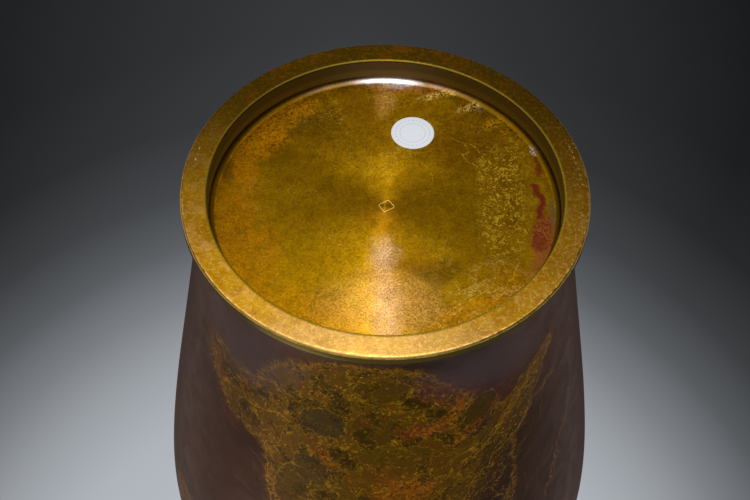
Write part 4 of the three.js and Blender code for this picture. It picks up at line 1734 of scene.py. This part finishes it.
# %% Turn the base plate
PLATE_SEGMENTS, PLATE_SPACING = 256, 2.0
TRUE_ROUND = {"Waver": 0.0, "Waver Length": MM}
plate_corners = [
    (0.0, PLATE_UNDERSIDE),
    (plate_high.x, PLATE_UNDERSIDE),
    (plate_high.x, plate_high.z),
    (0.0, plate_high.z),
]
plate_inputs = TRUE_ROUND | {"Segments": PLATE_SEGMENTS, "Finish": plate_bronze}
plate_profile = profile_mesh(spaced(plate_corners, PLATE_SPACING))
plate_piece = run_trees("turned_base_plate", plate_profile, [(lathe, plate_inputs)])
dress(plate_piece, "base_plate")

# %% [markdown]
# ## A blank frame in the middle of the plate
#
# A vase like this has a small frame struck into its base, and here it is left blank. The punch threw up a
# thin burr of bare metal, and that burr is what one sees. It follows four corners, so it is a curve: the
# corners are joined, their curve is rounded with Fillet Curve, and Curve to Mesh runs a fine section along
# it.


# %% A tree that runs a fine burr along a closed line
FILLET_STEPS, BURR_SIDES = 4, 8


def build_burr():
    inputs = (
        ("Corner", "NodeSocketFloat"),
        ("Thickness", "NodeSocketFloat"),
        ("Finish", "NodeSocketMaterial"),
    )
    wire, given = new_geometry_tree("burr", inputs)
    line = wire.add("GeometryNodeMeshToCurve", {"Mesh": given["Geometry"]}).outputs[0]
    corner = {"Curve": line, "Radius": given["Corner"], "Count": FILLET_STEPS}
    eased = wire.add("GeometryNodeFilletCurve", corner, mode="POLY").outputs[0]
    circle = {"Resolution": BURR_SIDES, "Radius": given["Thickness"]}
    section = wire.add("GeometryNodeCurvePrimitiveCircle", circle).outputs[0]
    ends = {"Curve": eased, "Profile Curve": section}
    tube = wire.add("GeometryNodeCurveToMesh", ends).outputs[0]
    return end_geometry_tree(wire, tube, given["Finish"])


burr = build_burr()
print("burr tree:", len(burr.nodes), "nodes")

# %% Strike the blank frame
FRAME_CORNERS = ((2.9, 0.2), (-1.5, 3.1), (-4.4, -0.9), (0.3, -3.9))
FRAME_CORNER_RADIUS, BURR_THICKNESS = 0.6, 0.22
BARE_GOLD = (0.95, 0.55, 0.13)


def bare_gold_finish():
    made = Finish("bare_gold")
    grain = made.noise(made.place, 0.4, detail=3.0, roughness=0.7)
    colour = made.grained((*BARE_GOLD, 1.0), grain, 0.7, 1.1)
    return made.finish(colour, made.between(grain, 0.3, 0.7, 0.3, 0.5))


frame_line = bpy.data.meshes.new("frame_line")
frame_points = [(x * MM, y * MM, PLATE_UNDERSIDE * MM) for x, y in FRAME_CORNERS]
corner_count = len(FRAME_CORNERS)
frame_edges = [(corner, (corner + 1) % corner_count) for corner in range(corner_count)]
frame_line.from_pydata(frame_points, frame_edges, [])
burr_inputs = {
    "Corner": FRAME_CORNER_RADIUS * MM,
    "Thickness": BURR_THICKNESS * MM,
    "Finish": bare_gold_finish(),
}
frame_piece = run_trees("blank_struck_frame", frame_line, [(burr, burr_inputs)])
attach(frame_piece, "root")

# %% [markdown]
# ## Running the solder
#
# Solder creeps into the corner and sets with a hollow face that runs out into the plate and the wall. It is
# turned like the rest, but its radius wavers by a hair, as a run made with a hand-held iron does. Its back
# lies in the ring's wall and in the plate, so that the wavering never opens a gap there.

# %% Run the solder
SOLDER_FEATHER, SOLDER_WETTING = 0.04, 0.5
SOLDER_SEGMENTS, SOLDER_WAVER, SOLDER_WAVER_LENGTH = 384, 0.06, 12.0
SOLDER_STEP_DEGREES = 3
face_foot = (plate_high.x - (PLATE_UNDERSIDE - solder_low.z), solder_low.z)
wide_reach = RECESS_RADIUS - SOLDER_FEATHER - face_foot[0]
high_reach = PLATE_UNDERSIDE - SOLDER_FEATHER - face_foot[1]
face = []
for degrees in range(90, -1, -SOLDER_STEP_DEGREES):
    angle = math.radians(degrees)
    outwards = face_foot[0] + wide_reach * math.cos(angle)
    face.append((outwards, face_foot[1] + high_reach * math.sin(angle)))
wall_radius = RECESS_RADIUS + SOLDER_WETTING
solder_line = [
    (wall_radius, solder_low.z),
    (wall_radius, PLATE_UNDERSIDE + SOLDER_WETTING),
    (face_foot[0], PLATE_UNDERSIDE + SOLDER_WETTING),
    *face,
    (wall_radius, solder_low.z),
]
solder_inputs = {
    "Segments": SOLDER_SEGMENTS,
    "Waver": SOLDER_WAVER * MM,
    "Waver Length": SOLDER_WAVER_LENGTH * MM,
    "Finish": solder_bronze,
}
solder_piece = run_trees("solder_run", profile_mesh(solder_line), [(lathe, solder_inputs)])
dress(solder_piece, "base_solder")

# %% [markdown]
# ## Turning the body
#
# The body is one thin casting: from its seat on the ring up the flank to the belly, over the full shoulder
# into the short neck, and out to the flat lip. The profile then runs back down the inside, one wall
# thickness in, to the sleeve round the spigot. The long runs are Bezier curves with their pulls given along
# the upright.

# %% The body's outer line
FLARE_STEPS, FLANK_STEPS, SHOULDER_STEPS, COVE_STEPS = 6, 56, 40, 10
foot = (WAIST_RADIUS + SLEEVE_FLARE, SEAT_HEIGHT)
waist = (WAIST_RADIUS, SEAT_HEIGHT + WAIST_RISE)
belly = (BELLY_RADIUS, waist[1] + FLANK_RISE)
shoulder = (NECK_RADIUS + NECK_COVE, belly[1] + SHOULDER_RISE)
neck = (NECK_RADIUS, shoulder[1] + NECK_RISE)
slope_start = (shoulder[0] + SHOULDER_SLOPE_RUN, shoulder[1] - SHOULDER_SLOPE_RISE)
cove_share = NECK_COVE / SHOULDER_SLOPE_RUN / 2
slope_end = (shoulder[0] - NECK_COVE / 2, shoulder[1] + SHOULDER_SLOPE_RISE * cove_share)

waist_pull = (waist[0], waist[1] + WAIST_PULL)
belly_pull_down = (belly[0], belly[1] - BELLY_PULL_DOWN)
belly_pull_up = (belly[0], belly[1] + BELLY_PULL_UP)

flare_line = bend(foot, (waist[0], waist[1] - WAIST_RISE / 2), waist, waist, FLARE_STEPS)
wall_line = bend(waist, waist_pull, belly_pull_down, belly, FLANK_STEPS)
wall_line += bend(belly, belly_pull_up, slope_start, shoulder, SHOULDER_STEPS)[1:]
wall_line += bend(shoulder, slope_end, (neck[0], neck[1] - NECK_RISE / 2), neck, COVE_STEPS)[1:]
inner_line = inset(wall_line, BODY_WALL)[::-1]
print("the outer line has", len(flare_line) + len(wall_line), "points, up to the neck")

# %% The mouth
LIP_STEPS, THROAT_STEPS, LIP_ROUND_STEPS = 12, 12, 6
NEARLY_ROUND = LIP_ROUND * 0.999
top = body_high.z
under_lip = (lip_edge - LIP_ROUND, top - LIP_EDGE)
throat_top = (throat_edge, top - LIP_ROUND)
neck_inside = inner_line[0]
neck_pull = (neck[0], neck[1] + MOUTH_RISE / 3)
lip_pull = (under_lip[0] - LIP_OVERHANG / 2, under_lip[1])
throat_pull = (throat_top[0], throat_top[1] - MOUTH_RISE / 3)
inside_pull = (neck_inside[0], neck_inside[1] + MOUTH_RISE / 3)
lip_corners = [
    (*under_lip, 0),
    (lip_edge, under_lip[1], NEARLY_ROUND),
    (lip_edge, top, LIP_ROUND),
    (throat_top[0], top, NEARLY_ROUND),
    (*throat_top, 0),
]
mouth_line = bend(neck, neck_pull, lip_pull, under_lip, LIP_STEPS)
mouth_line += rounded(lip_corners, steps=LIP_ROUND_STEPS)[1:]
throat_line = bend(throat_top, throat_pull, inside_pull, neck_inside, THROAT_STEPS)
print("the mouth is", round(2 * throat_top[0], 1), "mm wide inside")

# %% Turn the body
BODY_SEGMENTS, BODY_WAVER, BODY_WAVER_LENGTH = 256, 0.15, 45.0
ABOVE_SLEEVE = 0.5
sleeve_top = ring_high.z + ROUND_GAP
inner_line = [point for point in inner_line if point[1] > sleeve_top + ABOVE_SLEEVE]
sleeve_line = [(SLEEVE_BORE, sleeve_top), (SLEEVE_BORE, SEAT_HEIGHT), foot]
outer_points = flare_line + wall_line[1:] + mouth_line[1:]
inner_points = throat_line[1:] + inner_line[1:] + sleeve_line
body_inputs = {
    "Segments": BODY_SEGMENTS,
    "Waver": BODY_WAVER * MM,
    "Waver Length": BODY_WAVER_LENGTH * MM,
    "Finish": body_bronze,
}
body_piece = run_trees("bronze_body", profile_mesh(outer_points, inner_points), [(lathe, body_inputs)])
dress(body_piece, "vase_body")

# %% [markdown]
# ## The paper label
#
# The label is a thin disc with a softly cut edge, stuck to the underside of the plate, off the middle. It
# is turned round the Z axis as the rest, and then its mesh is moved to its place. The object itself stays
# at the origin, because the patterns of all finishes are measured from there.

# %% Cut the paper label
LABEL_SEGMENTS = 96
label_corners = [
    (0.0, label_low.z, 0),
    (label_radius, label_low.z, 0.06),
    (label_radius, label_high.z, 0),
    (0.0, label_high.z, 0),
]
label_inputs = TRUE_ROUND | {"Segments": LABEL_SEGMENTS, "Finish": label_paper}
label_piece = run_trees("round_label", profile_mesh(rounded(label_corners)), [(lathe, label_inputs)])
label_piece.data.transform(Matrix.Translation((label_centre[0] * MM, label_centre[1] * MM, 0)))
dress(label_piece, "paper_label")
